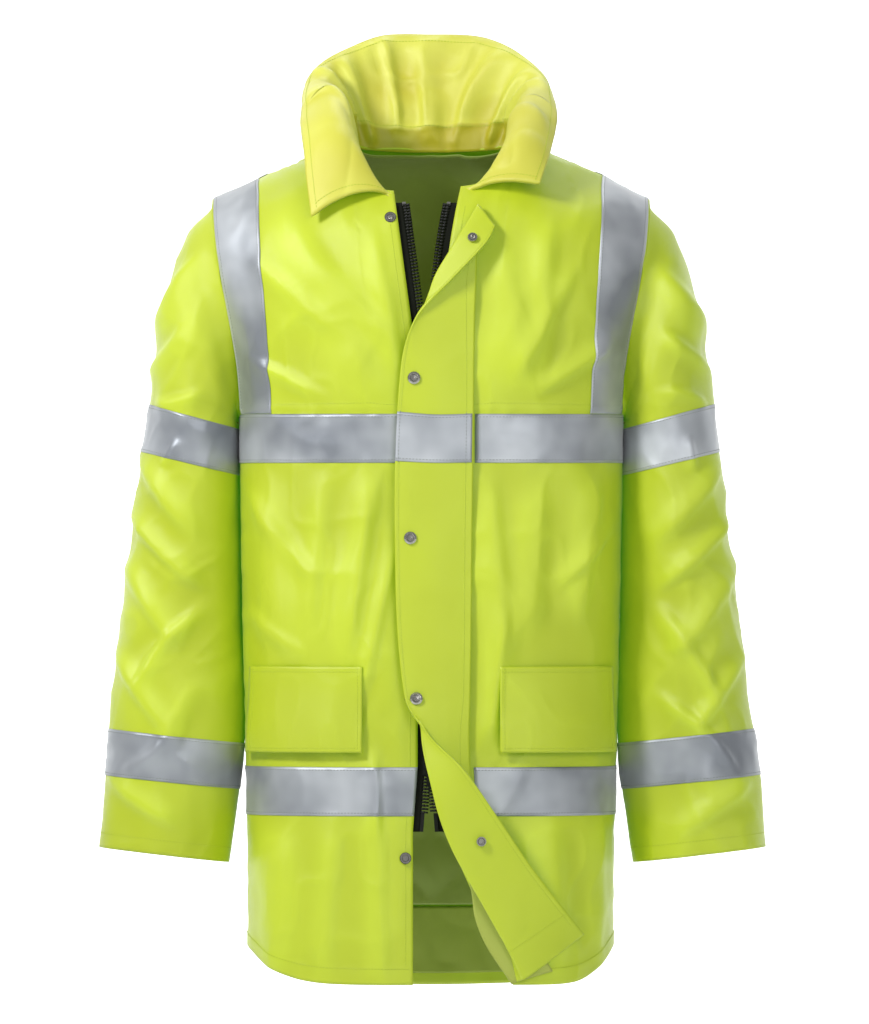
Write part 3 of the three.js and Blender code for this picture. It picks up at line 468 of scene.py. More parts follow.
def flap_surface(u, v):
    seam_x, seam_z, roll_x, roll_z, roll_up, edge_x, edge_z, edge_up = course(FLAP_COURSE, v)

    def over(x, z, up):
        return np.stack([x, body_y(x, z, -FRONT_DEPTH) - up, z], -1)

    seam, roll = over(seam_x, seam_z, FLAP_SEAM_UP), over(roll_x, roll_z, roll_up)
    edge = over(edge_x, edge_z, edge_up)
    share, past = np.asarray(u)[..., None], 1 - FLAP_ROLL_SHARE
    to_roll = hermite(share / FLAP_ROLL_SHARE, seam, roll, roll - seam, (edge - seam) * FLAP_ROLL_SHARE)
    to_edge = hermite((share - FLAP_ROLL_SHARE) / past, roll, edge, (edge - seam) * past, edge - roll)
    return np.where(share < FLAP_ROLL_SHARE, to_roll, to_edge)


# %% [markdown]
# ## Folds
# Worn fabric carries long soft folds that run between the places that pull on it, and small
# crumples over them. A long fold is a stroke: a low ridge along a line, steeper on one side. The
# crumples are smooth noise. Every layer of the body adds the same folds, so tapes, pockets and
# linings follow the shell under them and never cut through it.

# %% Smooth noise and fold strokes
def lattice(i, j, k, seed):
    h = (i * 374761393 + j * 668265263 + k * 1274126177 + seed * 974634777) & 0xFFFFFFFF
    h = ((h ^ (h >> 13)) * 1103515245) & 0xFFFFFFFF
    return ((h ^ (h >> 16)) & 0xFFFF) / 65535.0


def noise(p, size, seed):
    """Smooth noise from -1 to 1, with bumps about size across."""
    q = p / np.asarray(size, float)
    cell = np.floor(q).astype(np.int64)
    f = q - cell
    f = f * f * f * (f * (f * 6 - 15) + 10)
    total = 0
    for dx in (0, 1):
        for dy in (0, 1):
            for dz in (0, 1):
                weight = (np.where(dx, f[..., 0], 1 - f[..., 0])
                          * np.where(dy, f[..., 1], 1 - f[..., 1])
                          * np.where(dz, f[..., 2], 1 - f[..., 2]))
                total = total + weight * lattice(cell[..., 0] + dx, cell[..., 1] + dy,
                                                 cell[..., 2] + dz, seed)
    return 2 * total - 1


def crease(p, size, seed):
    """Sharp-topped ridges from 0 to 1, as in crumpled cloth."""
    return (1 - np.abs(noise(p, size, seed))) ** 3


def strokes(a, b, rows):
    """Sum of folds over a plane. Each row is a0, b0, a1, b1, width, height."""
    total = np.zeros(np.shape(a))
    for a0, b0, a1, b1, width, height in rows:
        da, db = a1 - a0, b1 - b0
        length = math.hypot(da, db)
        along = ((a - a0) * da + (b - b0) * db) / length ** 2
        across = ((a - a0) * db - (b - b0) * da) / length
        side = np.where(across > 0, width, width * 0.55)
        ends = ease((along + 0.15) / 0.4) * ease((1.15 - along) / 0.4)
        total += height * np.exp(-(across / side) ** 2) * ends
    return total


# %% Folds of the body
FRONT_FOLDS = [
    [-150, -70, -60, -250, 30, 5], [-120, -110, -40, -200, 16, 3], [-185, -110, -95, -190, 12, 3],
    [-60, -90, -30, -230, 14, 3], [-188, -215, -110, -255, 10, 3],
    [-165, -345, -150, -520, 26, 6], [-110, -340, -125, -500, 18, 4], [-60, -335, -85, -520, 16, 5],
    [-190, -350, -120, -440, 12, 4], [-195, -470, -130, -520, 12, 3], [-40, -420, -70, -560, 10, 3],
    [-60, -620, -50, -850, 16, 4], [-150, -700, -160, -850, 26, 5], [-100, -690, -110, -840, 16, 3],
    [-57, -625, -54, -700, 6, 3.5],
    [70, -90, 95, -250, 26, 5], [120, -70, 110, -240, 20, 4], [150, -120, 90, -230, 12, 3],
    [188, -200, 110, -250, 12, 4], [60, -340, 75, -520, 20, 5], [110, -345, 100, -500, 24, 5],
    [170, -340, 150, -480, 18, 5], [195, -380, 130, -450, 10, 3], [75, -480, 60, -610, 12, 4],
    [120, -690, 130, -850, 26, 5], [175, -680, 170, -840, 16, 4], [95, -640, 60, -700, 12, 3],
]
BACK_FOLDS = [
    [-150, -60, -60, -230, 26, 5], [150, -60, 60, -230, 26, 5], [0, -40, 5, -250, 30, 3],
    [-190, -220, -90, -300, 14, 4], [190, -220, 90, -300, 14, 4],
    [-130, -340, -110, -610, 26, 6], [-50, -340, -60, -600, 22, 5], [40, -340, 50, -620, 24, 5],
    [130, -340, 115, -600, 26, 6], [-190, -380, -110, -470, 12, 4], [190, -390, 110, -480, 12, 4],
    [-150, -690, -155, -870, 24, 5], [-60, -690, -50, -880, 22, 4], [50, -690, 60, -880, 26, 5],
    [150, -690, 150, -870, 22, 5],
]


YOKE_Z = -266  # a seam joins the yoke to the lower panel just above the chest tape


def tape_calm(z):
    """Tape is stiffer than the shell, so the crumples are lower where it is sewn on."""
    return sum(np.exp(-((z - middle) / 34) ** 2)
               for middle in (CHEST_TAPE_TOP - TAPE_WIDTH / 2, WAIST_TAPE_TOP - TAPE_WIDTH / 2))


def pucker(p, distance, seed, reach=9.0, wave=(13, 13, 13)):
    """Small gathers beside a sewn line, from how far each point is from that line."""
    return noise(p, wave, seed) * np.exp(-(distance / reach) ** 2)


def body_puckers(x, z, p):
    """Gathers beside the tapes, the yoke seam, the hem and the side seams."""
    lines = (CHEST_TAPE_TOP, CHEST_TAPE_TOP - TAPE_WIDTH, WAIST_TAPE_TOP, WAIST_TAPE_TOP - TAPE_WIDTH)
    gathered = sum(0.8 * pucker(p, z - line, 71 + i, 8, (11, 30, 24)) for i, line in enumerate(lines))
    hem = hem_z(np.clip(x, -HEM_HALF, HEM_HALF), False) + 16
    gathered = gathered + 0.9 * pucker(p, z - hem, 77, 12, (15, 40, 30))
    return gathered + 0.7 * pucker(p, np.abs(x) - armhole_x(z) + 8, 79, 10, (40, 40, 13))


def body_folds(p):
    x, y, z = p[..., 0], p[..., 1], p[..., 2]
    front = y < RIDGE_BACK
    long_folds = np.where(front, strokes(x, z, FRONT_FOLDS), strokes(x, z, BACK_FOLDS))
    calm = 1 - 0.55 * tape_calm(z)
    bent = p + 18 * noise(p, 60, 5)[..., None] * np.array((1, 0, 0.6))
    soft = 2.0 * noise(p, (70, 70, 120), 3) + 0.9 * noise(p, (34, 34, 60), 7)
    fine = 1.5 * crease(bent, (58, 90, 120), 11) + 0.9 * crease(bent, (26, 60, 52), 13)
    away = ease((p[..., 2] + 900) / 30)
    seam = ease(np.abs(np.abs(x) - armhole_x(z)) / 30)
    middle = ease((np.abs(x - ZIP_X) - 14) / 26)
    held = np.where(front, middle, 1) * seam
    yoke = 0.7 * np.exp(-((z - YOKE_Z) / 2.2) ** 2)
    puckers = body_puckers(x, z, p) * np.where(front, middle, 1) * away
    return (1.4 * long_folds + soft + 1.4 * fine) * calm * held * away + puckers + yoke - 1.5 * seam


def sleeve_folds(side):
    flip = SIGN[side]
    rows = [[215, -110, 285, -190, 16, 6], [222, -180, 290, -235, 14, 5], [212, -250, 270, -262, 10, 4],
            [290, -320, 215, -400, 16, 6], [300, -380, 215, -450, 12, 6], [305, -430, 230, -520, 16, 5],
            [212, -470, 280, -560, 12, 5], [315, -520, 250, -600, 12, 5], [215, -560, 300, -640, 10, 4],
            [320, -650, 240, -700, 14, 4], [240, -300, 250, -330, 8, 3]]
    seed = 21 if side == "left" else 33

    def folds(p):
        x, y, z = p[..., 0] * flip, p[..., 1], p[..., 2]
        shift = 12 * noise(p, 90, seed)
        facing = np.where(y < 0, 1, 0.8)
        long_folds = strokes(x + shift + 0.35 * (y < 0) * y, z + shift, rows) * facing
        soft = 2.4 * noise(p, (60, 60, 80), seed + 1) + 0.8 * noise(p, (26, 26, 40), seed + 2)
        bent = p + 20 * noise(p, 50, seed + 3)[..., None] * np.array((1, 0, 0.7))
        slant = np.stack([x + 0.5 * z, y, z - 0.5 * x], -1) + bent - p
        fine = 2.2 * crease(slant, (46, 80, 90), seed + 4) + 1.1 * crease(slant, (24, 50, 44), seed + 5)
        free = ease((-z - 60) / 60)
        beside = ease((x - armhole_x(z) - 6) / 40)
        return (1.2 * long_folds + soft + fine) * free * (0.35 + 0.65 * beside) - 2.0 * beside

    return folds


def no_folds(p):
    return np.zeros(p.shape[:-1])


# %% [markdown]
# ## Making a piece of cloth
# A piece is a fine grid over a surface, given a thickness and closed round its edges. Its UV map is
# in metres along the cloth, so a weave has the same thread size everywhere. The height of the folds
# is stored on each point too, so that the finish can paint shade into the valleys between folds.

# %% Cloth maker
MM = 0.001
STEP = 1e-4


def surface_frame(place, u, v, out):
    p = place(u, v)
    du = place(u + STEP, v) - place(u - STEP, v)
    dv = place(u, v + STEP) - place(u, v - STEP)
    n = np.cross(du, dv)
    n /= np.linalg.norm(n, axis=-1, keepdims=True) + 1e-12
    return p, n * out


def along(points, axis):
    """Distance along a grid's rows or columns, from its first line."""
    gaps = np.linalg.norm(np.diff(points, axis=axis), axis=-1)
    first = np.zeros_like(np.take(gaps, [0], axis=axis))
    return np.concatenate([first, np.cumsum(gaps, axis=axis)], axis=axis)


def cloth(name, surface, us, vs, low, high, folds=no_folds, around=False, shaded=None):
    """A closed sheet between two heights over a surface. Heights may change with u and v."""
    place, out = surface
    u, v = np.meshgrid(us, vs)
    p, n = surface_frame(place, u, v, out)
    lift = folds(p)
    heights = [h(u, v) if callable(h) else h for h in (low, high)]
    layers = [p + n * (lift + h)[..., None] for h in heights]
    rows, columns = u.shape
    count = rows * columns
    vertices = np.concatenate([layer.reshape(-1, 3) for layer in layers]) * MM
    index = np.arange(count).reshape(rows, columns)
    if around:
        index = np.concatenate([index, index[:, :1]], axis=1)

    def quads(a, b, c, d):
        return np.stack([a, b, c, d], -1).reshape(-1, 4)

    def ring(line, reverse):
        a, b = line[:-1], line[1:]
        faces = quads(a, b, b + count, a + count)
        return faces[:, ::-1] if reverse else faces

    a, b = index[:-1, :-1], index[:-1, 1:]
    c, d = index[1:, 1:], index[1:, :-1]
    top, bottom = quads(a, b, c, d) + count, quads(a, d, c, b)
    parts = [top, bottom, ring(index[0], False), ring(index[-1], True)]
    if not around:
        parts += [ring(index[:, 0], True), ring(index[:, -1], False)]
    faces = np.concatenate(parts)
    if out < 0:
        faces = faces[:, ::-1]
    mesh = bpy.data.meshes.new(name)
    mesh.from_pydata(vertices, [], faces.tolist())
    flat_u, flat_v = along(layers[1], 1) * MM, along(layers[1], 0) * MM
    flat = np.stack([flat_u.ravel(), flat_v.ravel()], -1)
    loops = np.zeros(len(mesh.loops), np.int32)
    mesh.loops.foreach_get("vertex_index", loops)
    mesh.uv_layers.new(name="cloth").data.foreach_set("uv", flat[loops % count].ravel())
    # Painted shade: the fold heights, with any painted shading added, tell the finish where to darken the
    # valleys.
    fold_shade_values = [lift + (shaded(u, v) if shaded else 0), lift]
    fold_shade = mesh.attributes.new("painted_shade_height", "FLOAT", "POINT")
    fold_shade.data.foreach_set("value", np.stack(fold_shade_values).ravel().astype(np.float32))
    mesh.shade_smooth()
    print(name, len(faces), "faces")
    return add_object(name, mesh)


# %% [markdown]
# ## Finishes
# All the cloth shares one weave: two sets of fine threads that cross, made by a node group. It puts
# out a height for the bump and a mask for the small gaps between threads. Crumple adds the faint
# wrinkles that are too small for the mesh.

# %% Shared node groups
def node_group(name, inputs, outputs):
    group = bpy.data.node_groups.new(name, "ShaderNodeTree")
    for label, default in inputs:
        socket = group.interface.new_socket(label, in_out="INPUT", socket_type="NodeSocketFloat")
        socket.default_value = default
    for label in outputs:
        group.interface.new_socket(label, in_out="OUTPUT", socket_type="NodeSocketFloat")
    return group, group.nodes.new("NodeGroupInput"), group.nodes.new("NodeGroupOutput")


def math_node(tree, operation, first, second=None):
    node = tree.nodes.new("ShaderNodeMath")
    node.operation = operation
    for socket, value in zip(node.inputs, (first, second)):
        if value is None:
            continue
        if isinstance(value, (int, float)):
            socket.default_value = value
        else:
            tree.links.new(value, socket)
    return node.outputs[0]


weave, weave_in, weave_out = node_group("weave", [("Threads per metre", 1600.0)], ["Height", "Gap"])
cloth_uv = weave.nodes.new("ShaderNodeUVMap")
cloth_uv.uv_map = "cloth"
split = weave.nodes.new("ShaderNodeSeparateXYZ")
weave.links.new(cloth_uv.outputs[0], split.inputs[0])
turns = math_node(weave, "MULTIPLY", weave_in.outputs[0], 2 * math.pi)
warp = math_node(weave, "SINE", math_node(weave, "MULTIPLY", split.outputs[0], turns))
weft = math_node(weave, "SINE", math_node(weave, "MULTIPLY", split.outputs[1], turns))
crossing = math_node(weave, "MULTIPLY", warp, weft)
weave.links.new(math_node(weave, "MULTIPLY", crossing, 0.5), weave_out.inputs["Height"])
weave.links.new(math_node(weave, "GREATER_THAN", math_node(weave, "ABSOLUTE", crossing), 0.85),
                weave_out.inputs["Gap"])

crumple, crumple_in, crumple_out = node_group("crumple", [("Scale", 18.0), ("Sharpness", 0.5)],
                                              ["Height", "Patches"])
place_on_cloth = crumple.nodes.new("ShaderNodeTexCoord")
ridges = crumple.nodes.new("ShaderNodeTexNoise")
ridges.noise_type = "RIDGED_MULTIFRACTAL"
set_inputs(ridges, {"Detail": 2.0, "Distortion": 0.6})
patches = crumple.nodes.new("ShaderNodeTexNoise")
set_inputs(patches, {"Scale": 9.0, "Detail": 3.0})
for texture in (ridges, patches):
    crumple.links.new(place_on_cloth.outputs["Object"], texture.inputs["Vector"])
crumple.links.new(crumple_in.outputs["Scale"], ridges.inputs["Scale"])
crumple.links.new(math_node(crumple, "MULTIPLY", ridges.outputs[0], crumple_in.outputs["Sharpness"]),
                  crumple_out.inputs["Height"])
crumple.links.new(patches.outputs[0], crumple_out.inputs["Patches"])


# %% A helper that starts each finish
def new_finish(name, roughness, values):
    material = bpy.data.materials.new(name)
    material.use_nodes = True
    shader = material.node_tree.nodes["Principled BSDF"]
    set_inputs(shader, {"Roughness": roughness, **values})
    return material, material.node_tree, shader


def place_group(tree, group, **values):
    node = tree.nodes.new("ShaderNodeGroup")
    node.node_tree = group
    set_inputs(node, {label.replace("_", " "): value for label, value in values.items()})
    return node


def mixed(tree, share, first, second):
    node = tree.nodes.new("ShaderNodeMix")
    node.data_type = "RGBA"
    for socket, value in ((node.inputs["Factor"], share), (node.inputs[6], first),
                          (node.inputs[7], second)):
        if isinstance(value, (tuple, float, int)):
            socket.default_value = value
        else:
            tree.links.new(value, socket)
    return node.outputs[2]


def bumped(tree, shader, layers):
    """Stacks bumps. Each layer is a height socket, a distance in metres and a strength."""
    normal = None
    for height, distance, strength in layers:
        bump = tree.nodes.new("ShaderNodeBump")
        set_inputs(bump, {"Distance": distance, "Strength": strength})
        tree.links.new(height, bump.inputs["Height"])
        if normal is not None:
            tree.links.new(normal, bump.inputs["Normal"])
        normal = bump.outputs[0]
    tree.links.new(normal, shader.inputs["Normal"])


# %% [markdown]
# The shell is a coated polyester in fluorescent yellow. The dye turns unseen light into visible
# light, so it never looks dark: a weak green glow is painted on for that, and it lifts the shade too.
# Valleys between folds, where the dye's colour bounces about, are painted deeper and warmer: painted
# shade from the stored fold height.

# %% Shell, shell inside and collar
def fluorescent(name, crest, valley_shade_colour, glow, roughness, wrinkle=0.5):
    # Painted glow: a weak green emission, from a surface that is no lamp, lifts the fabric most where it
    # lies in shade.
    material, tree, shader = new_finish(name, roughness, {
        "Emission Color": (0.10, 0.9, 0.0, 1), "Emission Strength": glow, "Sheen Weight": 0.1,
        "Sheen Roughness": 0.35, "Specular IOR Level": 0.6})
    fold = tree.nodes.new("ShaderNodeAttribute")
    fold.attribute_name = "painted_shade_height"
    threads = place_group(tree, weave)
    wrinkles = place_group(tree, crumple, Scale=14.0, Sharpness=wrinkle)
    # Painted shade: low fold heights mix towards the valley colour, so the valleys look deeper and warmer.
    height = ranged(tree, fold.outputs["Fac"], -4.5, 3.5)
    fold_shade = mixed(tree, height, (*valley_shade_colour, 1), (*crest, 1))
    patchy = ranged(tree, wrinkles.outputs["Patches"], 0.35, 0.7, 0.0, 0.35)
    colour = mixed(tree, patchy, fold_shade, (*valley_shade_colour, 1))
    tree.links.new(mixed(tree, math_node(tree, "MULTIPLY", threads.outputs["Gap"], 0.12), colour,
                         (*valley_shade_colour, 1)), shader.inputs["Base Color"])
    tree.links.new(ranged(tree, wrinkles.outputs["Patches"], 0.3, 0.7, roughness - 0.06,
                          roughness + 0.1), shader.inputs["Roughness"])
    bumped(tree, shader, [(wrinkles.outputs["Height"], 0.0012, 0.35),
                          (threads.outputs["Height"], 0.00012, 0.5)])
    return material


shell = fluorescent("fluorescent yellow shell", (0.505, 0.57, 0.024), (0.375, 0.40, 0.006), 0.075, 0.40)
# Painted light: the collar's crest is a lighter copy of the shell's yellow, for the light the collar
# catches; its golden valleys are painted shade.
collar_cloth_painted_lit = fluorescent("fluorescent yellow collar", (0.64, 0.62, 0.09), (0.42, 0.33, 0.012), 0.06,
                           0.42, 0.9)
inside = fluorescent("shell fabric seen from inside", (0.32, 0.39, 0.045), (0.23, 0.29, 0.02), 0.02,
                     0.62)
# Partly painted light: the turned-out facing is a lighter copy of the inside finish, partly for its pale
# wrong side and partly for the light it is turned to.
turned_out_painted_lit = fluorescent("facing turned to the light", (0.40, 0.46, 0.08), (0.30, 0.34, 0.03), 0.015, 0.6)

# %% [markdown]
# Retroreflective tape is a film of tiny glass beads over aluminium. In plain light it is a dull
# silver grey with a soft bright patch where it faces the light, so it is half metallic and rough,
# and its creases catch the light.

# %% Reflective tape
reflective, tape_tree, tape_shader = new_finish("silver grey reflective tape", 0.5,
                                                {"Sheen Weight": 0.3, "Metallic": 0.6})
tape_wrinkles = place_group(tape_tree, crumple, Scale=22.0, Sharpness=0.8)
tape_threads = place_group(tape_tree, weave, Threads_per_metre=900.0)
tape_colour = mixed(tape_tree, ranged(tape_tree, tape_wrinkles.outputs["Patches"], 0.35, 0.65),
                    (0.24, 0.26, 0.29, 1), (0.56, 0.59, 0.62, 1))
tape_gloss = ranged(tape_tree, tape_wrinkles.outputs["Patches"], 0.3, 0.7, 0.44, 0.56)
wire(tape_tree, (tape_colour, tape_shader.inputs["Base Color"]),
     (tape_gloss, tape_shader.inputs["Roughness"]))
bumped(tape_tree, tape_shader, [(tape_wrinkles.outputs["Height"], 0.0014, 0.5),
                                (tape_threads.outputs["Height"], 0.0001, 0.4)])

# %% [markdown]
# The lining is a smooth dark green nylon. Its quilting is modelled in the mesh, so the finish only
# adds the weave, a slight shine, a change of green from place to place and a weak painted glow that
# lifts it out of the shade inside the jacket.

# %% Lining
# Painted light: the emission is a glow that stands in for light reaching the inside of the jacket.
lining_green_glowing, lining_tree, lining_shader = new_finish("dark green lining", 0.5, {
    "Sheen Weight": 0.25, "Emission Color": (0.10, 0.13, 0.012, 1), "Emission Strength": 0.3})
lining_wrinkles = place_group(lining_tree, crumple, Scale=26.0, Sharpness=0.7)
lining_threads = place_group(lining_tree, weave, Threads_per_metre=2200.0)
lining_colour = mixed(lining_tree, lining_wrinkles.outputs["Patches"], (0.14, 0.20, 0.030, 1),
                      (0.22, 0.31, 0.050, 1))
lining_tree.links.new(lining_colour, lining_shader.inputs["Base Color"])
bumped(lining_tree, lining_shader, [(lining_wrinkles.outputs["Height"], 0.001, 0.4),
                                    (lining_threads.outputs["Height"], 0.0001, 0.4)])

# %% [markdown]
# The zip has a black woven tape and moulded plastic teeth, the studs are pressed from nickel-plated
# steel, and the thread is a plain grey-green cotton on the tape and yellow on the shell.

# %% Zip, metal and thread finishes
def speckled(name, dark, light, roughness, scale, depth, metallic=0.0, gloss=0.5):
    material, tree, shader = new_finish(name, roughness,
                                        {"Specular IOR Level": gloss, "Metallic": metallic})
    place = tree.nodes.new("ShaderNodeTexCoord")
    grain = tree.nodes.new("ShaderNodeTexNoise")
    set_inputs(grain, {"Scale": scale, "Detail": 4.0})
    tree.links.new(place.outputs["Object"], grain.inputs["Vector"])
    tree.links.new(mixed(tree, grain.outputs[0], (*dark, 1), (*light, 1)),
                   shader.inputs["Base Color"])
    tree.links.new(ranged(tree, grain.outputs[0], 0.3, 0.7, roughness - 0.08, roughness + 0.08),
                   shader.inputs["Roughness"])
    bumped(tree, shader, [(grain.outputs[0], depth, 0.5)])
    return material


zip_cloth = speckled("black zip tape", (0.004, 0.005, 0.003), (0.012, 0.013, 0.009), 0.8, 900, 0.0002,
                     gloss=0.08)
zip_plastic = speckled("black moulded plastic", (0.003, 0.004, 0.003), (0.009, 0.010, 0.007), 0.42, 300,
                       0.00008, gloss=0.25)
nickel = speckled("nickel plate", (0.40, 0.39, 0.36), (0.52, 0.51, 0.48), 0.22, 1500, 0.00002, 1.0)
# Painted shade: a dark nickel for the rings that stand for the shade in the studs' grooves.
groove_shade_nickel = speckled("dark nickel in the grooves", (0.03, 0.03, 0.025), (0.09, 0.09, 0.08), 0.4, 900,
                       0.00004, 0.8)
yellow_thread = speckled("yellow thread", (0.36, 0.46, 0.02), (0.5, 0.6, 0.05), 0.7, 1500, 0.0001)
grey_thread = speckled("grey thread", (0.16, 0.18, 0.17), (0.3, 0.32, 0.3), 0.7, 1500, 0.0001)
print(len(bpy.data.materials), "materials")


# %% [markdown]
# ## Finishing a piece
# Every piece is told its finish, the body that it moves with and the plain CAD nodes it stands for.

# %% Dress a piece
def dress(piece, material, body, slot, *replaced, fill=None):
    """Finishes a piece of cloth, ties it to its body and hides the plain nodes that it replaces."""
    piece.data.materials.clear()
    piece.data.materials.append(material)
    if body:
        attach(piece, body)
    if replaced:
        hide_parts(*replaced)
    if fill is not None:
        return piece
    return piece


FRONT = {side: (front_surface(side), SIGN[side]) for side in SIGN}
BACK = (back_surface, -1)
SLEEVE = {side: (sleeve_surface(side), -SIGN[side]) for side in SIGN}
COLLAR = (collar_surface, -1)
FLAP = (flap_surface, 1)

# %% [markdown]
# ## Shell panels
# The rows follow the tapes and crowd towards the shoulder seam, where the body turns over.

# %% Rows and columns of the panels
def spaced(stops, lengths, pitch):
    """Even steps between stops, as close as pitch. Lengths are the real distances between stops."""
    parts = [np.linspace(a, b, max(2, round(length / pitch)), endpoint=False)
             for a, b, length in zip(stops[:-1], stops[1:], lengths)]
    return np.concatenate([*parts, stops[-1:]])


PITCH = 3.4
SHOULDER_STEPS = 30
TURN_FROM, TURN_TO = 4.43, 4.99995  # the rows over which the body turns to the shoulder seam
below = spaced([0, 1, 2, 3, 4, TURN_FROM], [175, 50, 312, 50, 113], PITCH)
turn_over = np.sin(np.linspace(0, np.pi / 2, SHOULDER_STEPS + 1)[1:])
ROWS = np.concatenate([below, TURN_FROM + (TURN_TO - TURN_FROM) * turn_over])
SIDE_SEAM = 0.99998
FRONT_COLUMNS = np.append(np.linspace(0.002, 0.998, 84), SIDE_SEAM)
BACK_COLUMNS = np.concatenate([[-SIDE_SEAM], np.linspace(-0.998, 0.998, 151), [SIDE_SEAM]])
SHELL_DEPTH = -2.0
print(len(ROWS), "rows")

# %% Front and back panels
def hem_roll(u, v):
    """The hem is turned up and sewn, so the fabric is thicker there."""
    return 0.9 * ease((0.11 - v) / 0.02)


for side in SIGN:
    panel = cloth(f"shell_front_{side}", FRONT[side], FRONT_COLUMNS, ROWS, SHELL_DEPTH, hem_roll,
                  body_folds)
    dress(panel, shell, "torso", "shell", f"front_panel_{side}")
panel = cloth("shell_back", BACK, BACK_COLUMNS, ROWS, SHELL_DEPTH, hem_roll, body_folds)
dress(panel, shell, "torso", "shell", "back_panel")

# %% Tapes on the body
def rows_between(low, high):
    return np.concatenate([[low], ROWS[(ROWS > low + 0.01) & (ROWS < high - 0.01)], [high]])


def share_at(side, x):
    edge = SIGN[side] * front_edge_x(side, np.array(float(CHEST_TAPE_TOP)))
    return 2 / np.pi * math.asin((x - edge) / (CHEST_HALF - edge))


TAPE_LOW, TAPE_HIGH = 0.15, 0.75
FLAP_SEAM_X = 45
for band, rows in (("chest", rows_between(3, 4)), ("waist", rows_between(1, 2))):
    left_columns = np.linspace(share_at("left", FLAP_SEAM_X), 0.998, 56)
    strips = {f"{band}_tape_front_right": (FRONT["right"], FRONT_COLUMNS),
              f"{band}_tape_front_left": (FRONT["left"], left_columns),
              f"{band}_tape_back": (BACK, BACK_COLUMNS)}
    for name, (surface, columns) in strips.items():
        tape = cloth(f"{name}_film", surface, columns, rows, TAPE_LOW, TAPE_HIGH, body_folds)
        dress(tape, reflective, "torso", "reflective", name)


# %% Brace tapes over the shoulders
BRACE_CHEST = (0.815, 0.988)
BRACE_SHOULDER = (0.745, 0.99)
BRACE_OVER = 0.3  # the braces lie on the ends of the chest tape


def brace_surface(side):
    def place(u, v):
        row = 5 - np.abs(1 - v)
        share = lerp(lerp(*BRACE_CHEST, u), lerp(*BRACE_SHOULDER, u), np.clip(row - 4, 0, 1))
        across = 2 / np.pi * np.arcsin(share)
        front, back = FRONT[side][0](across, row), back_surface(SIGN[side] * across, row)
        return np.where((v > 1)[..., None], back, front)

    return place


upper = ROWS[ROWS > 4.004] - 4
brace_rows = np.concatenate([[0.002], upper, 2 - upper[::-1], [1.998]])
for side in SIGN:
    surface = (brace_surface(side), SIGN[side])
    brace = cloth(f"brace_tape_{side}_film", surface, np.linspace(0, 1, 16), brace_rows,
                  TAPE_LOW + BRACE_OVER, TAPE_HIGH + BRACE_OVER, body_folds)
    dress(brace, reflective, "torso", "reflective", f"brace_tape_{side}")

# %% [markdown]
# ## Sleeves
# A sleeve hangs from the armhole: the points at its top lie on the body's armhole.

# %% Sleeves with their tapes and linings
SLEEVE_LINING = (-4.5, -3.0)


def hang(piece):
    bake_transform(piece)


AROUND = np.linspace(0, 1, 113)[:-1]
SLEEVE_ROWS = spaced([0, 0.33, 0.40, 0.82, 0.89, 1], [235, 50, 290, 50, 76], PITCH)


def sleeve_rows(low, high):
    inner = SLEEVE_ROWS[(SLEEVE_ROWS > low + 0.004) & (SLEEVE_ROWS < high - 0.004)]
    return np.concatenate([[low], inner, [high]])


for side in SIGN:
    folds = sleeve_folds(side)
    pieces = [
        (f"shell_sleeve_{side}", SHELL_DEPTH, 0.0, (0, 1), shell, "shell", f"sleeve_{side}"),
        (f"sleeve_{side}_lining", *SLEEVE_LINING, (0.01, 0.975), lining_green_glowing, "lining",
         f"sleeve_lining_{side}"),
        (f"upper_tape_{side}_film", TAPE_LOW, TAPE_HIGH, UPPER_TAPE, reflective, "reflective",
         f"sleeve_tape_upper_{side}"),
        (f"lower_tape_{side}_film", TAPE_LOW, TAPE_HIGH, LOWER_TAPE, reflective, "reflective",
         f"sleeve_tape_lower_{side}"),
    ]
    for name, low, high, reach, material, slot, replaced in pieces:
        piece = cloth(name, SLEEVE[side], AROUND, sleeve_rows(*reach), low, high, folds, around=True)
        dress(piece, material, None, slot, replaced)
        hang(piece)

# %% [markdown]
# ## Collar
# The two faces of the collar meet along a sewn free edge, with the hood packed between them at the
# back. It is one thick closed piece here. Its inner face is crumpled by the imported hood.

# %% Collar folds and body
COLLAR_FOLDS = [
    [-0.40, 0.1, -0.34, 0.95, 0.045, 7], [-0.27, 0.0, -0.24, 0.9, 0.03, 6],
    [-0.15, 0.15, -0.12, 1.0, 0.025, 5], [0.0, 0.1, -0.04, 0.9, 0.05, 4],
    [0.12, 0.2, 0.20, 0.95, 0.04, 6], [0.25, 0.0, 0.30, 0.8, 0.03, 6],
    [0.36, 0.1, 0.44, 0.95, 0.035, 5], [-0.62, 0.3, -0.5, 1.0, 0.05, 3], [0.6, 0.2, 0.7, 0.9, 0.05, 3],
]


def collar_folds(p):
    return 1.2 * noise(p, (40, 40, 50), 51) + 1.2 * crease(p, (34, 34, 46), 53) - 0.6


def collar_inner_height(u, v):
    held = ease((1.02 - v) / 0.1) * ease(v / 0.1)
    packed = 1.5 * strokes(u, v, COLLAR_FOLDS) * held
    lumps = np.stack([400 * u, 60 * u * v, 110 * v], -1)
    at_back = 1 - ease(np.abs(u) / 0.6)
    crumpled = 5 * noise(lumps, (46, 50, 34), 55) + 4 * crease(lumps, (30, 60, 44), 57)
    packed = packed + crumpled * held * at_back
    row = -2.0 * np.exp(-((v - 0.2 - 0.02 * np.sin(9 * u)) / 0.02) ** 2) * ease((0.5 - np.abs(u)) / 0.1)
    return 1.0 - packed + row


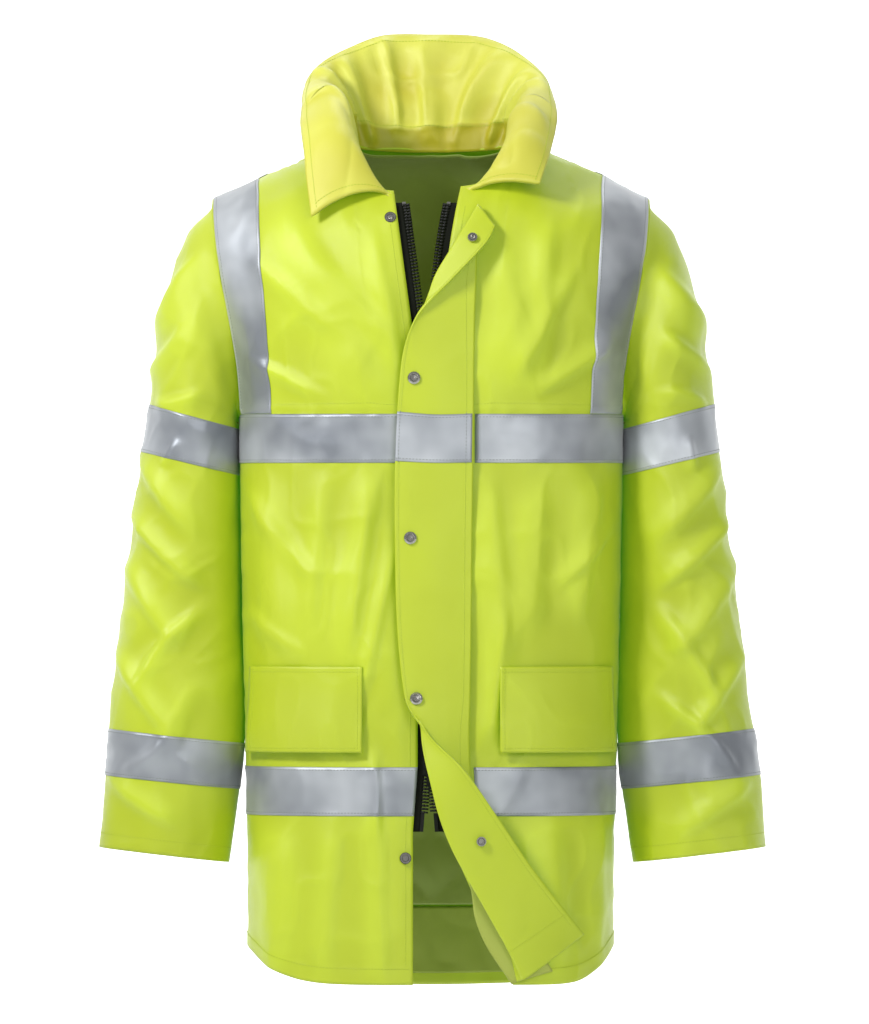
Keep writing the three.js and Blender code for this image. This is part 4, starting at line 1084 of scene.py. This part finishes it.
def collar_shade(u, v):
    """Painted shade in the inner face's deep folds. The inner face is also darker below the line where the
    hood is sewn in.
    """
    below = ease((0.21 + 0.02 * np.sin(9 * u) - v) / 0.03) * ease((0.5 - np.abs(u)) / 0.08)
    deep = np.clip(collar_inner_height(u, v) - 1, -6, 6)
    return 1.5 - 7 * below - 0.5 * deep * (1 - ease((np.abs(u) - 0.5) / 0.2))


def collar_outer_height(u, v):
    at_back = 1 - ease(np.abs(u) / 0.7)
    hood = 10 * at_back * np.sin(np.pi * np.clip(v, 0, 1)) ** 0.7
    edge = ease((1 - v) / 0.06)
    return 2.6 + (2.0 + hood) * edge


collar_columns = np.linspace(-1, 1, 190)
collar_rows = np.linspace(0, 1, 44)
collar = cloth("collar", COLLAR, collar_columns, collar_rows, lambda u, v: collar_inner_height(u, v) - 1,
               collar_outer_height, collar_folds, shaded=collar_shade)
dress(collar, collar_cloth_painted_lit, "torso", "shell", "collar_inner", "collar_outer", "stowed_hood", fill=0.4)

# %% [markdown]
# ## Storm flap
# The flap is two layers of shell sewn together, a little thicker at its turned edges.

# %% Storm flap and its tapes
def flap_folds(p):
    soft = 1.1 * noise(p, (40, 40, 70), 61) + 0.5 * crease(p, (40, 40, 60), 63)
    return soft * ease((p[..., 0] + 60) / 20)


FLAP_CHEST_TAPE = (0.322, 0.392)
flap_columns = np.linspace(0, 1, 44)
flap_rows = np.concatenate([np.linspace(0, 0.97, 220), np.linspace(0.973, 1, 24)])


def flap_top(u, v):
    """Both layers are turned in along the edges, so a narrow border and the lower hem stand higher."""
    border = np.maximum(ease((u - 0.95) / 0.012), ease((v - 0.985) / 0.002))
    return FLAP_THICK + 0.5 * border


flap = cloth("storm_flap_cloth", FLAP, flap_columns, flap_rows, 0.0, flap_top, flap_folds)
dress(flap, shell, "torso", "shell", "storm_flap")
flap_tape = cloth("chest_tape_flap_film", FLAP, np.linspace(0.02, 1, 40), np.linspace(*FLAP_CHEST_TAPE, 18),
                  FLAP_THICK + TAPE_LOW, FLAP_THICK + TAPE_HIGH, flap_folds)
dress(flap_tape, reflective, "torso", "reflective", "chest_tape_flap")
flap_tape = cloth("waist_tape_flap_film", FLAP, np.linspace(0.8, 1, 12), np.linspace(0.82, 0.88, 18),
                  FLAP_THICK + TAPE_LOW, FLAP_THICK + TAPE_HIGH, flap_folds)
dress(flap_tape, reflective, "torso", "reflective", "waist_tape_flap")

# %% [markdown]
# ## Stitching
# A seam is one short stitch repeated along a line, which is work for Geometry Nodes: the tree turns
# the drawn lines into curves, sets points a stitch apart, puts a small rounded stitch on each and
# turns it along the line. One tree serves every seam, with its sizes as inputs.

# %% The stitch tree
def repeat_tree(name, inputs, material):
    """A tree that sets one shape along lines, a pitch apart, turned along them and finished.

    Returns the tree, its group input and the socket that takes the shape.
    """
    tree = bpy.data.node_groups.new(name, "GeometryNodeTree")
    tree.interface.new_socket("Geometry", in_out="INPUT", socket_type="NodeSocketGeometry")
    for label, default in inputs.items():
        socket = tree.interface.new_socket(label, in_out="INPUT", socket_type="NodeSocketFloat")
        socket.default_value = default
    tree.interface.new_socket(material, in_out="INPUT", socket_type="NodeSocketMaterial")
    tree.interface.new_socket("Geometry", in_out="OUTPUT", socket_type="NodeSocketGeometry")
    given, result = tree.nodes.new("NodeGroupInput"), tree.nodes.new("NodeGroupOutput")
    curves = tree.nodes.new("GeometryNodeMeshToCurve")
    evenly = tree.nodes.new("GeometryNodeResampleCurve")
    evenly.mode = "LENGTH"
    points = tree.nodes.new("GeometryNodeCurveToPoints")
    points.mode = "EVALUATED"
    turned = tree.nodes.new("FunctionNodeAlignRotationToVector")
    turned.axis = "Z"
    repeated = tree.nodes.new("GeometryNodeInstanceOnPoints")
    real = tree.nodes.new("GeometryNodeRealizeInstances")
    finished = tree.nodes.new("GeometryNodeSetMaterial")
    wire(tree, (given.outputs["Geometry"], curves.inputs["Mesh"]),
         (curves.outputs[0], evenly.inputs["Curve"]), (given.outputs["Pitch"], evenly.inputs["Length"]),
         (evenly.outputs[0], points.inputs["Curve"]),
         (points.outputs["Tangent"], turned.inputs["Vector"]),
         (points.outputs["Points"], repeated.inputs["Points"]),
         (turned.outputs[0], repeated.inputs["Rotation"]), (repeated.outputs[0], real.inputs[0]),
         (real.outputs[0], finished.inputs["Geometry"]),
         (given.outputs[material], finished.inputs["Material"]), (finished.outputs[0], result.inputs[0]))
    return tree, given, repeated.inputs["Instance"]


stitch_tree, given, one_stitch = repeat_tree(
    "stitches along lines", {"Pitch": 0.0034, "Stitch length": 0.0026, "Thread radius": 0.0004}, "Thread")
stitch = stitch_tree.nodes.new("GeometryNodeMeshUVSphere")
set_inputs(stitch, {"Segments": 6, "Rings": 4, "Radius": 1.0})
stitch_size = stitch_tree.nodes.new("ShaderNodeCombineXYZ")
half_length = math_node(stitch_tree, "MULTIPLY", given.outputs["Stitch length"], 0.5)
shaped = stitch_tree.nodes.new("GeometryNodeTransform")
wire(stitch_tree, (given.outputs["Thread radius"], stitch_size.inputs["X"]),
     (given.outputs["Thread radius"], stitch_size.inputs["Y"]), (half_length, stitch_size.inputs["Z"]),
     (stitch.outputs["Mesh"], shaped.inputs["Geometry"]),
     (stitch_size.outputs[0], shaped.inputs["Scale"]), (shaped.outputs[0], one_stitch))


# %% Grow a piece from lines with a tree
def line_mesh(name, lines):
    vertices, edges = [], []
    for line in lines:
        start = len(vertices)
        vertices += [tuple(p) for p in np.asarray(line) * MM]
        edges += [(start + i, start + i + 1) for i in range(len(line) - 1)]
    mesh = bpy.data.meshes.new(name)
    mesh.from_pydata(vertices, edges, [])
    return mesh


def grown(name, mesh, tree, values):
    seed = add_object(name + "_lines", mesh)
    modifier = seed.modifiers.new("grow", "NODES")
    modifier.node_group = tree
    for item in tree.interface.items_tree:
        if item.in_out == "INPUT" and item.name in values:
            modifier[item.identifier] = values[item.name]
    bpy.context.view_layer.update()
    evaluated = seed.evaluated_get(bpy.context.evaluated_depsgraph_get())
    piece = add_object(name, bpy.data.meshes.new_from_object(evaluated))
    piece.data.name = name
    bpy.data.objects.remove(seed)
    piece.data.shade_smooth()
    print(name, len(piece.data.polygons), "faces")
    return piece


def sewn(name, lines, thread, pitch=3.4, length=2.6, radius=0.4):
    piece = grown(name, line_mesh(name, lines), stitch_tree, {
        "Pitch": pitch * MM, "Stitch length": length * MM, "Thread radius": radius * MM,
        "Thread": thread})
    return piece


def seam(surface, u, v, height, folds=no_folds):
    """A line over a surface, for one share that stays and one that runs."""
    u, v = np.broadcast_arrays(np.asarray(u, float), np.asarray(v, float))
    p, n = surface_frame(surface[0], u, v, surface[1])
    level = height(u, v) if callable(height) else height
    return p + n * (folds(p) + level)[..., None]


# %% [markdown]
# The shell is sewn with yellow thread along its edges, hems and seams. Each line is a run of
# points over a surface with the same folds as the cloth, so the thread lies on it everywhere.

# %% Yellow stitching on the body
EDGE_IN = 0.03
HEM_LINE = 0.095
YOKE_LINE = 4.04
COLLAR_LINE = 0.93
up_rows = np.linspace(0.02, 4.9, 260)
across_front = np.linspace(0.02, 0.99, 90)
across_back = np.linspace(-0.99, 0.99, 170)
yellow_lines = [seam(FRONT[s], EDGE_IN, up_rows, 0.1, body_folds) for s in SIGN]
yellow_lines += [seam(FRONT[s], across_front, HEM_LINE, 0.9, body_folds) for s in SIGN]
yellow_lines += [seam(BACK, across_back, HEM_LINE, 0.9, body_folds)]
yellow_lines += [seam(FRONT[s], np.linspace(0.05, 0.99, 90), YOKE_LINE, 0.1, body_folds) for s in SIGN]
yellow_lines += [seam(BACK, across_back, YOKE_LINE, 0.1, body_folds)]
yellow_lines += [seam(FRONT[s], 0.985, np.linspace(4.05, 4.97, 60), 0.1, body_folds) for s in SIGN]
yellow_lines += [seam(BACK, SIGN[s] * 0.985, np.linspace(4.05, 4.97, 60), 0.1, body_folds) for s in SIGN]
flap_run = np.linspace(0.01, 0.99, 260)
yellow_lines += [seam(FLAP, u, flap_run, FLAP_THICK + 0.1, flap_folds) for u in (0.09, 0.945)]
yellow_lines += [seam(FLAP, 0.955, flap_run, -0.1, flap_folds)]
yellow_lines += [seam(FLAP, np.linspace(0.03, 0.97, 50), 0.983, side, flap_folds)
                 for side in (-0.1, FLAP_THICK + 0.1)]
collar_run = np.linspace(-0.985, 0.985, 180)


def on_collar(u, v):
    return collar_inner_height(u, v) - 1 - 0.2


yellow_lines += [seam(COLLAR, collar_run, COLLAR_LINE, lambda u, v: collar_outer_height(u, v) + 0.1,
                      collar_folds)]
stitches = sewn("stitching_yellow_body", yellow_lines, yellow_thread)
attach(stitches, "torso")
inner_lines = [seam(COLLAR, collar_run, COLLAR_LINE, on_collar, collar_folds),
               seam(COLLAR, np.linspace(-0.44, 0.44, 80), 0.2, on_collar, collar_folds)]
inner_lines += [seam(COLLAR, side * 0.975, np.linspace(0.04, COLLAR_LINE, 30), on_collar, collar_folds)
                for side in (-1, 1)]
collar_stitches = sewn("stitching_collar", inner_lines, yellow_thread)
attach(collar_stitches, "torso")

# %% [markdown]
# The tapes are sewn on with grey thread, three millimetres in from each edge.

# %% Grey stitching on the tapes
TAPE_EDGE = 0.06
left_share = share_at("left", FLAP_SEAM_X + 2)
grey_lines = []
for first_row in (1, 3):
    for row in (first_row + TAPE_EDGE, first_row + 1 - TAPE_EDGE):
        grey_lines += [seam(FRONT["right"], np.linspace(0.01, 0.99, 90), row, TAPE_HIGH, body_folds),
                       seam(FRONT["left"], np.linspace(left_share, 0.99, 70), row, TAPE_HIGH, body_folds),
                       seam(BACK, across_back, row, TAPE_HIGH, body_folds)]
brace_run = np.linspace(0.03, 1.97, 240)
for side in SIGN:
    for u in (TAPE_EDGE, 1 - TAPE_EDGE):
        grey_lines.append(seam((brace_surface(side), SIGN[side]), u, brace_run,
                               TAPE_HIGH + BRACE_OVER, body_folds))
flap_low, flap_high = FLAP_CHEST_TAPE
for v in (lerp(flap_low, flap_high, TAPE_EDGE), lerp(flap_low, flap_high, 1 - TAPE_EDGE)):
    grey_lines.append(seam(FLAP, np.linspace(0.04, 0.98, 40), v, FLAP_THICK + TAPE_HIGH, flap_folds))
for u in (0.09, 0.955):
    grey_lines.append(seam(FLAP, u, np.linspace(flap_low, flap_high, 20), FLAP_THICK + TAPE_HIGH,
                           flap_folds))
stitches = sewn("stitching_grey_body", grey_lines, grey_thread)
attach(stitches, "torso")

# %% [markdown]
# The sleeves' stitches are pieces of their own. They follow the sleeve's folds as its cloth does.

# %% Stitching on the sleeves
around_sleeve = np.linspace(0, 1, 120)
CUFF_LINE = 0.978
for side in SIGN:
    folds = sleeve_folds(side)
    lines = [seam(SLEEVE[side], around_sleeve, lerp(*reach, share), TAPE_HIGH, folds)
             for reach in (UPPER_TAPE, LOWER_TAPE) for share in (TAPE_EDGE, 1 - TAPE_EDGE)]
    hang(sewn(f"stitching_grey_sleeve_{side}", lines, grey_thread))
    cuff = [seam(SLEEVE[side], around_sleeve, CUFF_LINE, 0.1, folds)]
    hang(sewn(f"stitching_yellow_sleeve_{side}", cuff, yellow_thread))

# %% [markdown]
# ## Pocket flaps
# Each pocket flap is a stiff double layer, sewn along its top edge and standing a little away below.

# %% Pocket flaps
POCKET_INNER_X, POCKET_OUTER_X = 70, 184
POCKET_TOP, POCKET_DROP = -532, 88
POCKET_THICK = 2.4
POCKET_SEAMS = [(0.04, np.linspace(0.03, 0.95, 30)), (0.96, np.linspace(0.03, 0.95, 30)),
                (np.linspace(0.04, 0.96, 40), 0.95), (np.linspace(0.02, 0.98, 40), 0.06)]


def pocket_under(u, v):
    """How far the flap stands off the shell: a little at its top, more below."""
    return 1.2 + 4.6 * ease(v) + 1.5 * np.sin(np.pi * u) * v


def pocket_folds(p):
    return 0.6 * body_folds(p)


for side in SIGN:
    def place(u, v, sign=SIGN[side]):
        x, z = lerp(POCKET_INNER_X, POCKET_OUTER_X, u), POCKET_TOP - POCKET_DROP * v
        return np.stack([sign * x, body_y(x, z, -FRONT_DEPTH), z], -1)

    flap_piece = cloth(f"pocket_flap_{side}_cloth", (place, -SIGN[side]), np.linspace(0, 1, 48),
                       np.linspace(0, 1, 36), pocket_under,
                       lambda u, v: pocket_under(u, v) + POCKET_THICK, pocket_folds)
    dress(flap_piece, shell, None, "shell", f"pocket_flap_{side}")
    edge = [seam((place, -SIGN[side]), u, v, lambda a, b: pocket_under(a, b) + POCKET_THICK + 0.1,
                 pocket_folds) for u, v in POCKET_SEAMS]
    stitches = sewn(f"stitching_pocket_{side}", edge, yellow_thread)
    for piece in (flap_piece, stitches):
        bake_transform(piece)

# %% [markdown]
# ## Inside the jacket
# The lining is quilted in diamonds: two layers sewn together along slanting lines, puffed between
# them. Facings of shell fabric run down each front and round the hem.

# %% Facings and hem
FACING_COLUMNS = np.linspace(0.03, 0.29, 16)
FACING_ROWS = rows_between(0.02, 4.985)
HEM_TOP = 0.45
HEM_ROWS = rows_between(0.065, HEM_TOP)
FACING_LAYER = (-4.5, -3.5)
for side in SIGN:
    facing = cloth(f"facing_{side}", FRONT[side], FACING_COLUMNS, FACING_ROWS, *FACING_LAYER, body_folds)
    dress(facing, inside, "torso", "facing", f"front_facing_{side}")
    hem = cloth(f"hem_facing_{side}_cloth", FRONT[side], np.linspace(0.31, 0.985, 46), HEM_ROWS,
                *FACING_LAYER, body_folds)
    dress(hem, inside, "torso", "facing", f"hem_facing_{side}")
hem = cloth("hem_facing_back_cloth", BACK, np.linspace(-0.985, 0.985, 110), HEM_ROWS, *FACING_LAYER,
            body_folds)
dress(hem, inside, "torso", "facing", "hem_facing_back")

# %% Pocket bags, between the shell and the lining
BAG_ROWS = rows_between(1.14, 2.33)
BAG_LAYER = (-4.5, -3.3)
for side in SIGN:
    columns = np.linspace(0.312, share_at(side, POCKET_OUTER_X), 30)
    bag = cloth(f"pocket_bag_{side}_cloth", FRONT[side], columns, BAG_ROWS, *BAG_LAYER, body_folds)
    dress(bag, inside, "torso", "facing", f"pocket_bag_{side}")

# %% [markdown]
# The left front's lower corner rolls outwards, so the pale wrong side of its facing shows beside
# the storm flap down to the hem. Its finish is a lighter copy of the inside finish: partly the pale
# wrong side, partly painted light where it is turned to the light.

# %% The facing that is turned out
TURNED_FACING = [
    [0, 34, -735, 38, -735], [0.25, 41, -762, 58, -765], [0.5, 45, -790, 82, -792],
    [0.75, 57, -819, 104, -816], [1, 82, -857, 122, -844],
]


def turned_facing(u, v):
    x0, z0, x1, z1 = course(TURNED_FACING, v)
    x, z = lerp(x0, x1, u), lerp(z0, z1, u)
    return np.stack([x, body_y(x, z, -FRONT_DEPTH), z], -1)


strip = cloth("facing_turned_out", (turned_facing, -1), np.linspace(0, 1, 14), np.linspace(0, 1, 44),
              lambda u, v: 2.2 + 3.0 * u ** 2, lambda u, v: 3.4 + 3.0 * u ** 2,
              lambda p: 0.5 * body_folds(p))
dress(strip, turned_out_painted_lit, "torso", "facing")

# %% Quilted linings
QUILT = 78
LINING_ROWS = rows_between(HEM_TOP + 0.01, 4.998)


def quilted(surface):
    def height(u, v):
        p = surface[0](u, v)
        first = np.abs(np.sin((p[..., 0] + p[..., 2]) * np.pi / QUILT))
        second = np.abs(np.sin((p[..., 0] - p[..., 2]) * np.pi / QUILT))
        return -7.5 - 2.2 * (np.minimum(first, second) ** 0.5 - 1)

    return height


for name, surface, columns in (
        ("lining_front_right", FRONT["right"], np.linspace(0.312, 0.985, 60)),
        ("lining_front_left", FRONT["left"], np.linspace(0.312, 0.985, 60)),
        ("lining_back", BACK, np.linspace(-0.985, 0.985, 130))):
    puffed = quilted(surface)
    lining = cloth(f"{name}_quilt", surface, columns, LINING_ROWS,
                   lambda u, v, q=puffed: q(u, v) - 1.6, lambda u, v, q=puffed: q(u, v) - 0.4, body_folds)
    dress(lining, lining_green_glowing, "torso", "lining", name, fill=0.2)

# %% [markdown]
# ## Zip teeth
# Each tooth is a moulded block with a narrower head that hooks between two teeth of the other row.
# The rows are half a pitch apart. They repeat along a line, so a second tree makes them.

# %% The tooth tree
tooth_tree, given, one_tooth = repeat_tree("teeth along a line", {"Pitch": 0.004, "Side": 1.0}, "Plastic")
block = tooth_tree.nodes.new("GeometryNodeMeshCylinder")
set_inputs(block, {"Vertices": 8, "Radius": 0.0025, "Depth": 0.0022})
head = tooth_tree.nodes.new("GeometryNodeMeshCube")
head.inputs["Size"].default_value = (0.0044, 0.0036, 0.0018)
head_place = tooth_tree.nodes.new("ShaderNodeCombineXYZ")
head_reach = math_node(tooth_tree, "MULTIPLY", given.outputs["Side"], -0.0032)
head_moved = tooth_tree.nodes.new("GeometryNodeTransform")
both = tooth_tree.nodes.new("GeometryNodeJoinGeometry")
wire(tooth_tree, (head_reach, head_place.inputs["X"]),
     (head.outputs["Mesh"], head_moved.inputs["Geometry"]),
     (head_place.outputs[0], head_moved.inputs["Translation"]),
     (block.outputs["Mesh"], both.inputs[0]), (head_moved.outputs[0], both.inputs[0]),
     (both.outputs[0], one_tooth))

# %% Two rows of teeth on woven tapes
ZIP_DEPTH = 4.4
CHAIN_FROM_EDGE = 8.2
TOOTH_PITCH = 3.4
TEETH_FROM, TEETH_TO = -681, -59


def tape_line(side, z):
    """x of a row of teeth. The left row keeps its line where the front is rolled away."""
    return ZIP_X + SIGN[side] * (edge_from_zip(side, z) - CHAIN_FROM_EDGE)


ZIP_TAPE = (1.4, 15.2)  # where the woven tape starts and ends, counted from the middle of its teeth
for side in SIGN:
    def place(u, v, side=side):
        x = tape_line(side, v) + SIGN[side] * lerp(*ZIP_TAPE, u)
        return np.stack([x, body_y(x, v, -FRONT_DEPTH), v], -1)

    tape = cloth(f"zip_tape_{side}_cloth", (place, SIGN[side]), np.linspace(0, 1, 8),
                 np.linspace(ZIP_BOTTOM, ZIP_TOP, 160), -ZIP_DEPTH - 0.5, -ZIP_DEPTH + 0.5)
    dress(tape, zip_cloth, "torso", "zip_tape", f"zip_tape_{side}")

for side in SIGN:
    first = TEETH_FROM + (TOOTH_PITCH / 2 if side == "left" else 0)
    z = np.linspace(first, TEETH_TO, 200)
    x = tape_line(side, z)
    line = np.stack([x, body_y(x, z, -FRONT_DEPTH) + ZIP_DEPTH, z], -1)
    teeth = grown(f"teeth_{side}", line_mesh(f"teeth_{side}", [line]), tooth_tree,
                  {"Pitch": TOOTH_PITCH * MM, "Side": float(SIGN[side]), "Plastic": zip_plastic})
    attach(teeth, "torso")
    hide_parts(f"zip_teeth_{side}")

# %% [markdown]
# ## Press studs
# The caps and posts keep their turned shape. Each gets two fine dark rings: painted shade, where
# the pressed grooves of the plated metal see little light.

# %% Rings of the studs
RING_RADII = (3.4, 5.6)
RING_THICK = 0.34


def turned_axis(points):
    """The middle and the axis of a turned solid: the direction unlike the other two."""
    values, vectors = np.linalg.eigh(np.cov((points - points.mean(0)).T))
    odd = 2 if values[1] - values[0] < values[2] - values[1] else 0
    axis = vectors[:, odd]
    return points.mean(0), -axis if axis[1] > 0 else axis


def ring_mesh(bm, centre, axis, radius, thick):
    turn = Vector(axis).to_track_quat("Z", "Y")
    around, section = 32, 8
    rings = []
    for i in range(around):
        a = 2 * math.pi * i / around
        ring = []
        for j in range(section):
            b = 2 * math.pi * j / section
            out = radius + thick * math.cos(b)
            local = Vector((out * math.cos(a), out * math.sin(a), thick * math.sin(b)))
            ring.append(bm.verts.new((turn @ local + Vector(centre)) * MM))
        rings.append(ring)
    for i in range(around):
        for j in range(section):
            k, m = (i + 1) % around, (j + 1) % section
            bm.faces.new((rings[i][j], rings[k][j], rings[k][m], rings[i][m]))


for name in [n for n in nodes if n.startswith("stud_")]:
    points = np.array([nodes[name].matrix_world @ v.co for v in nodes[name].data.vertices]) / MM
    centre, axis = turned_axis(points)
    heights = (points - centre) @ axis
    radii = np.linalg.norm(points - centre - heights[:, None] * axis, axis=1)
    bm = bmesh.new()
    for radius in RING_RADII:
        if radius > radii.max() + 0.2:
            continue
        outer = radii > radius - 0.3
        height = heights[outer].max()
        ring_mesh(bm, centre + axis * height, axis, min(radius, radii.max() - 0.1), RING_THICK)
    mesh = bpy.data.meshes.new(f"{name}_rings")
    bm.to_mesh(mesh)
    bm.free()
    mesh.materials.append(groove_shade_nickel)
    mesh.shade_smooth()
    rings = add_object(f"{name}_rings", mesh)
    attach(rings, "torso")

# %% Finishes of the remaining nodes
def refinish(name, material):
    nodes[name].data.materials.clear()
    nodes[name].data.materials.append(material)


for name in nodes:
    if name.startswith(("zip_slider", "zip_pull", "zip_insertion", "zip_retainer")):
        refinish(name, zip_plastic)
    elif name.startswith(("stud_", "zip_top_stop")):
        refinish(name, nickel)

# %% The size of the finished scene
low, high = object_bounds()
print("visual box", low, high)
